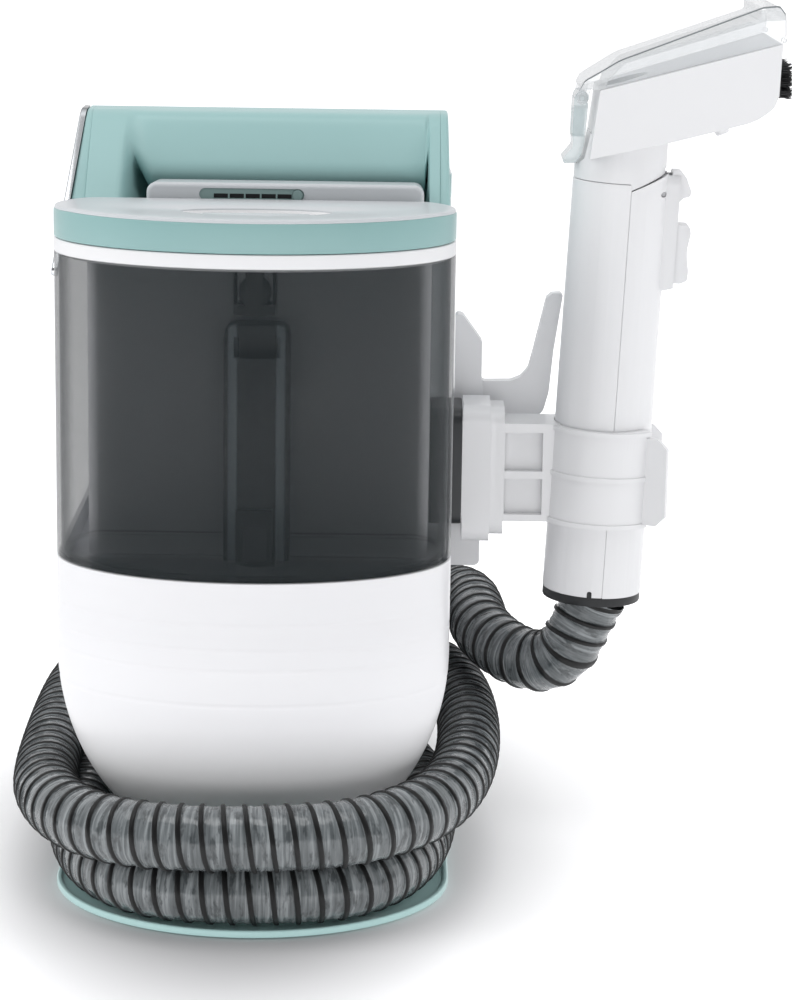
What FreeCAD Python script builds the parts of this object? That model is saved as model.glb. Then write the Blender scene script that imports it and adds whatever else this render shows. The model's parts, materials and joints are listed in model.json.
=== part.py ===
# Portable spot extractor: a waisted body on an oval base, a dirty-water tank at the
# front and a clean-water tank at the back, a raked carry handle between them, and a
# hand wand that hangs in a clip at the right, with its suction hose wound on the base.
# Frame: origin under the middle of the base plate, +X to the right seen from the
# dirty-water tank, +Y to the back, +Z up. Millimetres.
import FreeCAD, Part

import math
import os

V = FreeCAD.Vector
os.makedirs("parts", exist_ok=True)

# Driving dimensions: plan of the body
body_half_w = 95.0          # half width over the tanks
nose_depth = 63.0           # how far the rounded nose reaches past the widest line
straight = 165.0            # straight length between the two widest lines
plate_half_w = 96.4
plate_nose = 83.0
nose_y = straight / 2       # the widest line of each nose
body_half_l = nose_y + nose_depth

# Levels
foot_out = 0.8              # feet below the plate
plate_t = 3.4
plate_dish = 1.2
plate_rim = 3.0             # width of the rim round the dish
plinth_top = 26.0
seam_z = 166.7              # lower housing to tank
tank_top = 313.3
collar_h = 6.8
lid_h = 13.9
panel_lip = 1.6             # lid panel above the rim of its band
clear = 0.3                 # gap between pieces that move apart
tower_top = tank_top - clear
ridge_z = tower_top + 56.8  # top of the carry handle

# Walls
shell_wall = 2.6
tank_wall = 2.2
floor_t = 3.0

# Bowl of the lower housing
bowl_top = 120.0
bowl_side = 100.0           # sideways half axis of the bowl's curve
bowl_drop = 110.0           # its upright half axis
bowl_bands = 10

# Tanks
tank_inset = 3.6            # how far the tank's foot stands inside the rim
tank_foot_z = 156.0
front_flat = -46.5          # flat rear wall of the dirty-water tank
rear_flat = 72.0            # flat front wall of the clean-water tank
rear_depth = 71.0           # half axis of the tank's curve behind its widest line

# Tower between the tanks
tower_half_w = 84.0
tower_gap = 1.2
tower_front = front_flat + tower_gap
tower_back = rear_flat - tower_gap

# Deck that closes the lower housing under the tanks
deck_top = tank_foot_z - clear

# Handle
core_left = -86.0
core_right = 87.6
rake_foot = (tower_front, tower_top + 1.5)   # foot of the raked face, as Y and Z
ridge_front_y = 15.3        # where the raked face's plane meets the ridge
ridge_back_y = 42.0
ridge_round = 16.0          # radius of the ridge in front, and behind
back_round = 9.0
grip_left = -60.0
grip_splay = 15.0           # how far the hollow's left wall opens towards the front
grip_right = 81.0
pocket_floor = tower_top + 3.5
pocket_back = 38.0
grip_under = tower_top + 24.0
grip_nose_y = 3.5           # foremost point of the grip's rounded front
grip_nose_drop = 17.0       # how far below the ridge it lies

# Console
console_left = -54.6
console_right = 79.7
console_front = tower_front + 0.8
console_back = -8.0
console_top = tower_top + 28.0
console_wall = 2.2
console_round = 2.4         # radius of its front edge
pill_left = -29.0
pill_right = 21.8
pill_low = console_top - 8.4
pill_high = console_top - 2.6

# Wand
wand_x = 168.4              # foot of the wand's axis
wand_foot = 127.0
wand_tilt = 2.5             # degrees, top to the right
wand_r_foot = 25.0
wand_r_top = 23.9
wand_wall = 2.4
wand_top = 341.0
wand_split = 4.0            # parting plane right of the axis

# Hose
hose_r = 16.2
hose_bore = 12.0
groove_depth = 1.7
rib_sides = 10
rib_pitch = 20.5


# Plan outlines

def nose_arc(a, depth, y_mid, z, start, end):
    """An arc of the ellipse x = a cos u, y = y_mid + depth sin u, from start to end in radians."""
    arc = Part.Ellipse(V(0, y_mid, z), a, depth) if a >= depth else None
    if arc is not None:
        return Part.ArcOfEllipse(arc, start, end).toShape()
    turned = Part.Ellipse(V(0, y_mid + depth, z), V(-a, y_mid, z), V(0, y_mid, z))
    quarter = math.pi / 2
    return Part.ArcOfEllipse(turned, start - quarter, end - quarter).toShape()


def oval(inset, z, half_w=body_half_w, nose=nose_depth, mid=nose_y):
    """The full plan: two elliptic noses joined by straight sides, drawn in by inset."""
    a = half_w - inset
    n = nose - inset
    front = nose_arc(a, n, -mid, z, math.pi, 2 * math.pi)
    right = Part.makeLine(V(a, -mid, z), V(a, mid, z))
    back = nose_arc(a, n, mid, z, 0, math.pi)
    left = Part.makeLine(V(-a, mid, z), V(-a, -mid, z))
    return Part.Wire([front, right, back, left])


def oval_prism(inset, z0, z1, **plan):
    return Part.Face(oval(inset, z0, **plan)).extrude(V(0, 0, z1 - z0))


def tank_outline(inset, z, rear=False):
    """A tank's plan: elliptic nose, drawn-in shoulders and a flat wall towards the tower."""
    a = body_half_w - inset
    n = nose_depth - inset
    side = 1 if rear else -1
    flat = rear_flat + inset if rear else front_flat - inset
    behind = (nose_y - flat) if rear else (flat + nose_y)
    m = rear_depth - inset
    u = math.asin(behind / m)
    x_flat = a * math.cos(u)
    mid = side * nose_y
    if rear:
        nose = nose_arc(a, n, mid, z, 0, math.pi)
        left = nose_arc(a, m, mid, z, math.pi, math.pi + u)
        wall = Part.makeLine(V(-x_flat, flat, z), V(x_flat, flat, z))
        right = nose_arc(a, m, mid, z, 2 * math.pi - u, 2 * math.pi)
        return Part.Wire([nose, left, wall, right])
    nose = nose_arc(a, n, mid, z, math.pi, 2 * math.pi)
    right = nose_arc(a, m, mid, z, 0, u)
    wall = Part.makeLine(V(x_flat, flat, z), V(-x_flat, flat, z))
    left = nose_arc(a, m, mid, z, math.pi - u, math.pi)
    return Part.Wire([nose, right, wall, left])


def tank_prism(inset, z0, z1, rear=False):
    return Part.Face(tank_outline(inset, z0, rear)).extrude(V(0, 0, z1 - z0))


# Small solids

def block(x0, x1, y0, y1, z0, z1):
    return Part.makeBox(x1 - x0, y1 - y0, z1 - z0, V(x0, y0, z0))


def rod(x, y, z, r, length, axis=V(0, 0, 1)):
    return Part.makeCylinder(r, length, V(x, y, z), axis)


def tube(x, y, z, r, bore, length, axis=V(0, 0, 1)):
    return rod(x, y, z, r, length, axis).cut(rod(x, y, z, bore, length, axis))


def rounded_block(x0, x1, y0, y1, z0, z1, r, axis="z"):
    """A block whose four edges along one axis are rounded to r."""
    body = block(x0, x1, y0, y1, z0, z1)
    edges = []
    for edge in body.Edges:
        a, b = edge.Vertexes[0].Point, edge.Vertexes[1].Point
        step = {"x": abs(b.x - a.x), "y": abs(b.y - a.y), "z": abs(b.z - a.z)}
        if step[axis] > 1e-6:
            edges.append(edge)
    return body.makeFillet(r, edges)


def corner(before, here, after):
    """Start, middle and end of the arc that rounds a corner to the radius in its third value."""
    ways = []
    for other in (before, after):
        across, up = other[0] - here[0], other[1] - here[1]
        length = math.hypot(across, up)
        ways.append((across / length, up / length))
    (ux, uz), (wx, wz) = ways
    half = math.acos(ux * wx + uz * wz) / 2
    reach = here[2] / math.tan(half)
    deep = (here[2] / math.sin(half) - here[2]) / math.hypot(ux + wx, uz + wz)
    start = (here[0] + ux * reach, here[1] + uz * reach)
    middle = (here[0] + (ux + wx) * deep, here[1] + (uz + wz) * deep)
    stop = (here[0] + wx * reach, here[1] + wz * reach)
    return start, middle, stop


def outline_face(points, place):
    """A closed outline as a face. A point's third value, where it has one, is its corner's radius."""
    corners = []
    for n, here in enumerate(points):
        if len(here) == 3:
            corners.append(corner(points[n - 1], here, points[(n + 1) % len(points)]))
        else:
            corners.append((here, None, here))
    edges = []
    for n, (start, middle, stop) in enumerate(corners):
        if middle is not None:
            edges.append(Part.Arc(place(*start), place(*middle), place(*stop)).toShape())
        following = corners[(n + 1) % len(corners)][0]
        edges.append(Part.makeLine(place(*stop), place(*following)))
    return Part.Face(Part.Wire(edges))


def side_prism(points, y0, y1):
    """A closed outline of X and Z points, carried along Y."""
    return outline_face(points, lambda x, z: V(x, y0, z)).extrude(V(0, y1 - y0, 0))


def end_prism(points, x0, x1):
    """A closed outline of Y and Z points, carried along X."""
    return outline_face(points, lambda y, z: V(x0, y, z)).extrude(V(x1 - x0, 0, 0))


def joined(shapes):
    body = shapes[0]
    for other in shapes[1:]:
        body = body.fuse(other)
    return body.removeSplitter()


def save(name, shape):
    shape.exportStep(os.path.join("parts", name + ".step"))
    print(name, len(shape.Solids), "solids", round(shape.Volume / 1000, 2), "cm3", shape.isValid())


# Base

def make_base():
    bottom = foot_out
    top = bottom + plate_t
    plan = dict(half_w=plate_half_w, nose=plate_nose)
    plate = oval_prism(0, bottom, top, **plan)
    plate = plate.cut(oval_prism(plate_rim, top - plate_dish, top + 1, **plan))
    plinth = oval_prism(plinth_inset, bottom + 1, plinth_top)
    plinth = plinth.cut(oval_prism(plinth_inset + 3, bottom + 2, plinth_top - floor_t))
    base = plate.fuse(plinth)
    for x, y in foot_places:
        base = base.cut(rod(x, y, bottom - 1, foot_r, 1 + foot_pocket))
    for x, y in plinth_screws:
        base = base.cut(rod(x, y, plinth_top - floor_t - 1, 2.3, floor_t + 2))
    save("base_plate", base.removeSplitter())
    feet = [rod(x, y, 0, foot_r - 0.1, foot_out + foot_pocket) for x, y in foot_places]
    save("base_feet", Part.makeCompound(feet))
    screws = []
    for x, y in plinth_screws:
        shank = rod(x, y, plinth_top - floor_t, 1.9, floor_t + 2.4)
        head = rod(x, y, plinth_top - floor_t - 2.2, 3.6, 2.2)
        screws.append(shank.fuse(head))
    save("base_screws", Part.makeCompound(screws))


plinth_inset = 45.0
foot_r = 8.0
foot_pocket = 1.4
foot_places = [(sx * 62.0, sy * 88.0) for sx in (-1, 1) for sy in (-1, 1)]
foot_places += [(0, -128.0), (0, 0), (0, 128.0)]
plinth_screws = [(sx * 30.0, sy * 70.0) for sx in (-1, 1) for sy in (-1, 1)]


# Lower housing

def bowl_inset(z):
    """How far the bowl's wall has drawn in at height z, along an ellipse."""
    if z >= bowl_top:
        return 0.0
    share = (bowl_top - z) / bowl_drop
    return bowl_side * (1 - math.sqrt(1 - share * share))


def bowl_solid(extra, z0):
    """The bowl in bands between levels that lie closer together towards its foot."""
    rise = bowl_top - z0
    levels = [z0 + rise * (n / bowl_bands) ** 1.7 for n in range(bowl_bands + 1)]
    return Part.makeLoft([oval(bowl_inset(z) + extra, z) for z in levels], True, True)


def make_lower_housing():
    z0 = plinth_top
    outer = bowl_solid(0, z0).fuse(oval_prism(0, bowl_top, seam_z))
    inner = bowl_solid(shell_wall, z0 + floor_t).fuse(oval_prism(shell_wall, bowl_top, seam_z + 1))
    shell = outer.cut(inner)
    for x, y in plinth_screws:
        shell = shell.cut(rod(x, y, z0 - 1, 1.9, floor_t + 2))
    shell = shell.cut(rod(elbow_x, elbow_y, elbow_z, elbow_r + 0.2, 60))
    shell = shell.cut(rod(0, body_half_l - 20, inlet_z, inlet_r + 0.1, 40, V(0, 1, 0)))
    save("lower_housing", shell)


# Suction port under the right side, and the mains inlet at the back
elbow_x = 66.0
elbow_y = 84.0
elbow_z = 19.5
elbow_top = 66.0
elbow_r = 10.0
mouth_r = 15.0
mouth_turn = 16.0
mouth_reach = 24.0
inlet_r = 6.5
inlet_z = 128.0


def mouth_end():
    """Where the elbow's mouth ends, and the way it points."""
    turn = math.radians(mouth_turn)
    way = V(math.sin(turn), -math.cos(turn), 0)
    return V(elbow_x, elbow_y, elbow_z) + way * mouth_reach, way


def make_ports():
    """The elbow leaves the bowl's underside and turns forward to take the hose's end."""
    end, way = mouth_end()
    drop = rod(elbow_x, elbow_y, elbow_z - elbow_r, elbow_r, elbow_top - elbow_z + elbow_r)
    mouth = Part.makeCylinder(mouth_r, mouth_reach - 6, V(elbow_x, elbow_y, elbow_z) + way * 6, way)
    elbow = drop.fuse(mouth)
    elbow = elbow.cut(Part.makeCylinder(hose_bore, mouth_reach + 2, end, way * -1))
    elbow = elbow.cut(rod(elbow_x, elbow_y, elbow_z, elbow_r - 2, 60))
    save("hose_port", elbow.removeSplitter())
    gland = rod(0, body_half_l - 6, inlet_z, inlet_r, 6, V(0, 1, 0))
    flange = rod(0, body_half_l, inlet_z, inlet_r + 3, 2.5, V(0, 1, 0))
    save("cord_inlet", gland.fuse(flange).cut(rod(0, body_half_l - 8, inlet_z, 3.4, 20, V(0, 1, 0))))


# Deck, tower and what they carry

def make_deck():
    """The deck closes the housing under the tanks and holds both tank ports."""
    deck = oval_prism(shell_wall + 0.1, deck_top - floor_t, deck_top)
    deck = deck.cut(rod(0, duct_y, deck_top - 5, duct_hole_r, 10))
    deck = deck.cut(rod(0, valve_y, deck_top - 5, valve_r + 0.3, 10))
    deck = deck.cut(block(-30, 30, -30, 30, deck_top - 5, deck_top + 1))
    for x, y in tower_screws:
        deck = deck.cut(rod(x, y, deck_top - 5, 1.9, 10))
    save("tank_deck", deck)


def make_tower():
    """The upright box between the tanks, open at the bottom to the motor space."""
    x, y0, y1 = tower_half_w, tower_front, tower_back
    tower = rounded_block(-x, x, y0, y1, deck_top, tower_top, 6.0)
    room = rounded_block(-x + shell_wall, x - shell_wall, y0 + shell_wall, y1 - shell_wall,
                         deck_top + floor_t, tower_top - floor_t, 4.0)
    tower = tower.cut(room)
    tower = tower.cut(block(-30, 30, -30, 30, deck_top - 1, deck_top + 5))
    for sx, sy in tower_screws:
        tower = tower.cut(rod(sx, sy, deck_top - 1, 1.9, floor_t + 2))
    for z in bracket_screw_z:
        tower = tower.cut(rod(tower_half_w - 5, 0, z, 2.0, 10, V(1, 0, 0)))
    save("mid_tower", tower)
    screws = []
    for sx, sy in tower_screws:
        shank = rod(sx, sy, deck_top - floor_t, 1.8, 2 * floor_t)
        head = rod(sx, sy, deck_top - floor_t - 2, 3.4, 2)
        screws.append(shank.fuse(head))
    save("tower_screws", Part.makeCompound(screws))


duct_y = -58.5
duct_hole_r = 9.0
valve_y = 108.0
valve_r = 8.0
tower_screws = [(sx * 60.0, y) for sx in (-1, 1) for y in (-30.0, 55.0)]
bracket_screw_z = (176.0, 210.0)


# Carry handle

def handle_profile():
    """Side outline of the handle: raked face, crowned ridge and steeper back, as Y and Z."""
    return [(tower_front, tower_top), rake_foot, (ridge_front_y, ridge_z, ridge_round),
            (ridge_back_y, ridge_z, back_round), (tower_back, tower_top + 11), (tower_back, tower_top)]


def grip_cut(x0, x1):
    """The hollow under the grip: open to the front, with a rounded nose above it."""
    front_y = tower_front - 20
    top_y = ridge_front_y - 3.3
    outline = [(top_y, ridge_z + 20), (top_y, ridge_z - 1.8), (grip_nose_y, ridge_z - grip_nose_drop, 14.0),
               (ridge_front_y + 5, grip_under), (pocket_back, grip_under - 2.5, 4.0),
               (pocket_back, pocket_floor), (front_y, pocket_floor), (front_y, ridge_z + 20)]
    return end_prism(outline, x0, x1)


def make_handle():
    body = end_prism(handle_profile(), core_left, core_right)
    body = body.cut(grip_cut(grip_left, grip_right))
    front_y = tower_front - 20
    splay = [(grip_left, pocket_back), (grip_left, front_y), (grip_left - grip_splay, front_y)]
    slant = outline_face(splay, lambda x, y: V(x, y, pocket_floor)).extrude(V(0, 0, 80))
    body = body.cut(slant.common(grip_cut(grip_left - grip_splay, grip_left)))
    bay = block(console_left - clear, console_right + clear, tower_front - 1, console_back + clear,
                tower_top - 1, console_top + 40)
    body = body.cut(bay)
    front = body.common(block(-200, 200, -200, pocket_back + 4, 0, 500))
    back = body.common(block(-200, 200, pocket_back + 4, 200, 0, 500))
    room = [(pocket_back + 7, tower_top + 3), (tower_back - 4, tower_top + 3),
            (tower_back - 4, tower_top + 9), (ridge_back_y + 7, ridge_z - 16),
            (pocket_back + 7, ridge_z - 12)]
    room = end_prism(room, core_left + 4, core_right - 4)
    save("handle_housing", front.removeSplitter())
    save("handle_back_cover", back.cut(room))


def side_cap(x_in, x_foot, x_top):
    """A cap over the handle's end whose outer face leans in towards the top."""
    z0, z1 = tower_top, ridge_z
    profile = handle_profile()
    way = 1 if x_foot > 0 else -1
    cap = end_prism(profile, x_in, x_in + way * 30)
    lean = (x_foot - x_top) / (z1 - z0)
    keep = [(x_in, z0 - 5), (x_foot + lean * 5, z0 - 5), (x_top - lean * 5, z1 + 5), (x_in, z1 + 5)]
    return cap.common(side_prism(keep, -120, 120))


def make_side_caps():
    save("side_cap_right", side_cap(core_right, cap_right_foot, cap_right_top))
    save("side_cap_left", side_cap(core_left, cap_foot_x, cap_top_x))
    save("side_trim", trim_bar())


cap_right_foot = 93.4        # outer face of each cap, at its foot and at the ridge
cap_right_top = 91.6
cap_foot_x = -94.6
cap_top_x = -89.0
trim_w = 5.4
trim_t = 3.0
trim_proud = 0.6             # how far the bright band stands out over the handle's edge
trim_low_z = 299.0
trim_back_y = 36.0


def trim_bar():
    """A bright band up the raked edge and over the ridge, round at both ends, leaning with the cap."""
    rise = ridge_z - rake_foot[1]
    run = ridge_front_y - rake_foot[0]
    length = math.hypot(rise, run)
    out_y, out_z = -rise / length, run / length
    low_y = ridge_front_y - (ridge_z - trim_low_z) * run / rise
    share = math.tan(math.atan2(rise, run) / 2)
    sunk = trim_proud - trim_w
    end_r = 0.45 * trim_w
    outline = [(low_y + out_y * sunk, trim_low_z + out_z * sunk, end_r),
               (low_y + out_y * trim_proud, trim_low_z + out_z * trim_proud, end_r),
               (ridge_front_y - share * trim_proud, ridge_z + trim_proud, ridge_round + trim_proud),
               (trim_back_y, ridge_z + trim_proud, end_r), (trim_back_y, ridge_z + sunk, end_r),
               (ridge_front_y - share * sunk, ridge_z + sunk, ridge_round + sunk)]
    x = cap_foot_x - 0.1
    bar = end_prism(outline, x - trim_t, x)
    lean = math.degrees(math.atan2(cap_top_x - cap_foot_x, ridge_z - tower_top))
    bar.rotate(V(x, 0, tower_top), V(0, 1, 0), lean)
    return bar


# Console

def make_console():
    y0, y1 = console_front, console_back
    panel = rounded_block(console_left, console_right, y0, y1, tower_top, console_top, 5.0, "y")
    front = [e for e in panel.Edges if e.BoundBox.YMax < y0 + 0.1 and e.BoundBox.ZMax > tower_top + 8]
    panel = panel.makeFillet(console_round, front)
    wall = console_wall
    panel = panel.cut(block(console_left + wall, console_right - wall, y0 + wall, y1 - wall,
                            tower_top - 1, console_top - wall))
    panel = panel.fuse(block(console_left, console_right, y0, y1, tower_top, tower_top + 3))
    mid_z = (pill_low + pill_high) / 2
    r = (pill_high - pill_low) / 2
    pill = pill_solid(y0 - 1, 2.6, r, mid_z)
    panel = panel.cut(pill)
    panel = panel.cut(rod(button_x, y0 - 1, mid_z, button_r + 0.15, 8, V(0, 1, 0)))
    save("console_panel", panel.removeSplitter())
    insert = pill_solid(y0 + 0.4, 1.2, r - 0.1, mid_z)
    for n in range(slot_count):
        x = slot_first + n * slot_pitch
        insert = insert.cut(block(x, x + slot_w, y0 - 1, y0 + 4, mid_z - 1.9, mid_z + 0.3))
    insert = insert.cut(rod(button_x, y0 - 1, mid_z, button_r + 0.15, 8, V(0, 1, 0)))
    save("vent_insert", insert)
    cap = rod(button_x, y0 - 0.6, mid_z, button_r, 4.6, V(0, 1, 0))
    collar = rod(button_x, y0 + console_wall + 0.2, mid_z, button_r + button_lip, 0.8, V(0, 1, 0))
    save("power_button", cap.fuse(collar))
    body = block(button_x - 6, button_x + 6, y0 + 8.0, y0 + 16.0, tower_top + 3, mid_z + 2.5)
    plunger = rod(button_x, y0 + 6.2, mid_z, 1.2, 1.9, V(0, 1, 0))
    save("power_switch", body.fuse(plunger))


def pill_solid(y, depth, r, mid_z):
    bar = block(pill_left + r, pill_right - r, y, y + depth, mid_z - r, mid_z + r)
    left = rod(pill_left + r, y, mid_z, r, depth, V(0, 1, 0))
    right = rod(pill_right - r, y, mid_z, r, depth, V(0, 1, 0))
    return joined([bar, left, right])


button_x = 18.6
button_r = 2.5
button_lip = 0.5             # how far the button's collar stands out behind the panel
slot_count = 5
slot_first = -22.0
slot_pitch = 7.7
slot_w = 6.9


# Blower, pump and seal inside the housing

motor_y = -35.0
motor_r = 42.0
motor_low = 37.0
motor_high = 97.0
shaft_r = 4.0
fan_r = 44.0
fan_low = 103.0
fan_t = 11.0
blade_count = 9
cover_r = 50.0
pump_y = 60.0


def make_blower():
    """A motor on a cradle, its shaft, a fan with swept blades and the cover over it."""
    floor = plinth_top + floor_t
    cradle = tube(0, motor_y, floor, motor_r - 2, motor_r - 10, motor_low - floor)
    save("motor_cradle", cradle)
    can = rod(0, motor_y, motor_low, motor_r, motor_high - motor_low)
    can = can.cut(rod(0, motor_y, motor_low + 10, shaft_r + 0.05, 80))
    for n in range(4):
        slot = block(motor_r - 6, motor_r + 1, -5, 5, motor_low + 12, motor_high - 12)
        slot.rotate(V(0, 0, 0), V(0, 0, 1), 45 + 90 * n)
        slot.translate(V(0, motor_y, 0))
        can = can.cut(slot)
    save("vacuum_motor", can)
    save("motor_shaft", rod(0, motor_y, motor_low + 12, shaft_r, fan_low + fan_t - motor_low - 8))
    save("fan_impeller", fan_solid())
    top = fan_low + fan_t + 10
    cover = rod(0, motor_y, motor_high, cover_r, top - motor_high)
    cover = cover.cut(rod(0, motor_y, motor_high - 1, cover_r - 2.5, top - motor_high - 1.5))
    cover = cover.cut(rod(0, motor_y, top - 5, 15, 10))
    foot = tube(0, motor_y, motor_high, cover_r, motor_r - 4, 3)
    save("fan_cover", cover.fuse(foot).removeSplitter())
    pump = rounded_block(-25, 25, pump_y - 20, pump_y + 20, floor, floor + 33, 4.0)
    head = rod(-12, pump_y, floor + 33, 11, 9)
    spouts = rod(-12, pump_y, floor + 42, 3.5, 9).fuse(rod(14, pump_y, floor + 33, 3.5, 12))
    save("water_pump", joined([pump, head, spouts]))


def fan_solid():
    """A back disc with blades that sweep back as they go out."""
    disc = rod(0, motor_y, fan_low, fan_r, 2).fuse(rod(0, motor_y, fan_low, 9, fan_t))
    parts = [disc]
    for n in range(blade_count):
        arc = Part.Arc(V(8, 0, 0), V(24, 8, 0), V(fan_r - 1, 9, 0)).toShape()
        back = Part.Arc(V(fan_r - 1, 10.6, 0), V(23.6, 9.8, 0), V(7.4, 1.8, 0)).toShape()
        tip = Part.makeLine(V(fan_r - 1, 9, 0), V(fan_r - 1, 10.6, 0))
        root = Part.makeLine(V(7.4, 1.8, 0), V(8, 0, 0))
        blade = Part.Face(Part.Wire([arc, tip, back, root])).extrude(V(0, 0, fan_t - 1))
        blade.rotate(V(0, 0, 0), V(0, 0, 1), 360 / blade_count * n)
        blade.translate(V(0, motor_y, fan_low + 1))
        parts.append(blade)
    return joined(parts).cut(rod(0, motor_y, fan_low - 1, shaft_r, fan_t + 2))


# Tanks

lip_t = 5.0                  # width of the white collar's top
spigot = 5.0                 # how far the collar reaches down inside the tank
plug_inset = 7.4
plug_wall = 2.2
recess_inset = 3.2
panel_edge = 0.5             # the panel's edge inside the band's edge
lid_low = tank_top + collar_h + clear
lid_top = lid_low + lid_h
panel_top = lid_top + panel_lip
recess_floor = lid_top - 5.2
lid_floor = 3.5              # thickness of the lid under the panel
grip_x = 2.0                 # middle, half width and half depth of the finger recess in the lid
grip_y = 111.5
grip_a = 35.0
grip_b = 14.5
grip_bar = 25.0              # half width of the bar over the recess
bar_edge = 116.0
duct_half_w = 16.0
duct_depth = 16.0
duct_top = 275.0
duct_wall = 2.0
float_y = -82.0
float_r = 8.0
cage_r = 10.5
ball_bands = 12


def lens(grow, y, z0, z1):
    """The finger recess in a lid, seen from above: an ellipse."""
    plan = Part.Ellipse(V(grip_x, y, z0), grip_a + grow, grip_b + grow)
    return Part.Face(Part.Wire(plan.toShape())).extrude(V(0, 0, z1 - z0))


def make_tank(names, rear):
    """A tank with its collar, and a lid with panel and seal that plugs into the collar."""
    side = 1 if rear else -1
    low = tank_foot_z
    shoulder = seam_z + clear
    body = tank_prism(0, shoulder, tank_top, rear).fuse(tank_prism(tank_inset, low, shoulder, rear))
    inner = tank_prism(tank_wall, shoulder + tank_wall, tank_top + 1, rear)
    inner = inner.fuse(tank_prism(tank_inset + tank_wall, low + tank_wall, shoulder + tank_wall + 1, rear))
    body = body.cut(inner)
    if rear:
        body = body.fuse(rod(0, valve_y, low - 7, valve_r, 7)).cut(rod(0, valve_y, low - 8, valve_r - 2, 8))
        body = body.cut(rod(0, valve_y, low - 1, 3.6, 5))
    else:
        half = port_half
        body = body.cut(block(-half, half, duct_y - half, duct_y + half, low - 1, low + 5))
    save(names["tank"], body)

    collar = tank_prism(0, tank_top, tank_top + collar_h, rear)
    collar = collar.cut(tank_prism(lip_t, tank_top - 1, tank_top + collar_h + 1, rear))
    skirt = tank_prism(tank_wall + 0.1, tank_top - spigot, tank_top + 0.5, rear)
    collar = collar.fuse(skirt.cut(tank_prism(lip_t, tank_top - spigot - 1, tank_top + 1, rear)))
    save(names["collar"], collar.removeSplitter())

    lid = tank_prism(0, lid_low, lid_top, rear)
    lid = lid.cut(tank_prism(recess_inset, recess_floor, lid_top + 1, rear))
    lid = lid.fuse(tank_prism(plug_inset, tank_top, lid_low, rear))
    lid = lid.cut(tank_prism(plug_inset + plug_wall, tank_top - 1, recess_floor - lid_floor, rear))
    pan_z = tank_top + 6.0
    lid = lid.fuse(lens(2.0, side * grip_y, pan_z, recess_floor))
    lid = lid.cut(lens(0, side * grip_y, pan_z + 2.5, lid_top + 1))
    save(names["lid"], lid.removeSplitter())

    panel = tank_prism(panel_edge, lid_top, panel_top, rear)
    panel = panel.fuse(tank_prism(recess_inset + 0.1, recess_floor, lid_top, rear)).removeSplitter()
    hole = lens(0, side * grip_y, recess_floor - 1, panel_top + 1)
    bar_y = sorted((side * bar_edge, side * (grip_y + grip_b + 2)))
    bar = block(grip_x - grip_bar, grip_x + grip_bar, bar_y[0], bar_y[1], recess_floor - 1, panel_top + 1)
    save(names["panel"], panel.cut(hole.cut(bar)))

    seal = tank_prism(lip_t + clear, tank_top + 1.5, tank_top + 5.5, rear)
    save(names["seal"], seal.cut(tank_prism(plug_inset, tank_top, tank_top + 7, rear)))


port_half = 4.2


def make_tanks():
    make_tank(dict(tank="recovery_tank", collar="tank_collar", lid="tank_lid", panel="lid_panel",
                   seal="lid_seal"), False)
    make_tank(dict(tank="clean_tank", collar="clean_collar", lid="clean_lid", panel="clean_panel",
                   seal="clean_seal"), True)
    make_duct()
    make_float()
    make_valve()


def make_duct():
    """The standpipe against the tank's flat wall: air and water rise in it and leave at its head."""
    y1 = front_flat - tank_wall
    y0 = y1 - duct_depth
    z0 = tank_foot_z + tank_wall
    x = duct_half_w
    duct = rounded_block(-x, x, y0, y1, z0 - 20, duct_top, 6.0, "y")
    duct = duct.common(block(-x, x, y0, y1, z0, duct_top))
    room = block(-x + duct_wall, x - duct_wall, y0 + duct_wall, y1 - duct_wall, z0 - 1, duct_top - duct_wall)
    duct = duct.cut(room)
    step = seam_z + clear + tank_wall
    duct = duct.cut(block(-x - 1, x + 1, y1 - tank_inset, y1 + 1, z0 - 1, step))
    duct = duct.fuse(block(-x, x, y1 - tank_inset - duct_wall, y1 - tank_inset, z0, step + duct_wall))
    duct = duct.fuse(block(-x, x, y1 - tank_inset, y1, step, step + duct_wall))
    duct = duct.cut(block(-x + 5, x - 5, y0 - 1, y0 + duct_wall + 1, duct_top - 16, duct_top - 6))
    frame = block(-9.5, 9.5, y0 - 1.5, y0, z0, z0 + 26).cut(block(-5.5, 5.5, y0 - 2, y0 + 1, z0 + 3, z0 + 23))
    save("inlet_duct", duct.fuse(frame).removeSplitter())
    ring = tube(0, duct_y, deck_top - floor_t - 2, duct_hole_r, port_half, floor_t + 2)
    flare = tube(0, duct_y, deck_top - floor_t - 2, duct_hole_r + 2, port_half, 2)
    save("tank_port_seal", ring.fuse(flare).removeSplitter())


def make_float():
    """A slotted cage under the lid, and the ball that closes the air path when the tank is full."""
    top = recess_floor - lid_floor
    low = top - 42
    cage = rod(0, float_y, low, cage_r, top - low).cut(rod(0, float_y, low + 2, cage_r - 1.6, top - low - 4))
    for n in range(4):
        slot = block(cage_r - 4, cage_r + 1, -4, 4, low + 5, top - 12)
        slot.rotate(V(0, 0, 0), V(0, 0, 1), 90 * n + 45)
        slot.translate(V(0, float_y, 0))
        cage = cage.cut(slot)
    save("float_cage", cage)
    ball_z = low + 2 + float_r + clear
    half = []
    for n in range(ball_bands + 1):
        angle = math.pi * (n / ball_bands - 0.5)
        half.append(V(float_r * math.cos(angle), 0, float_r * math.sin(angle)))
    half[0].x = half[-1].x = 0
    ball = Part.Face(Part.makePolygon(half + half[:1])).revolve(V(0, 0, 0), V(0, 0, 1), 360)
    ball.translate(V(0, float_y, ball_z))
    save("float_ball", ball)


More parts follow.
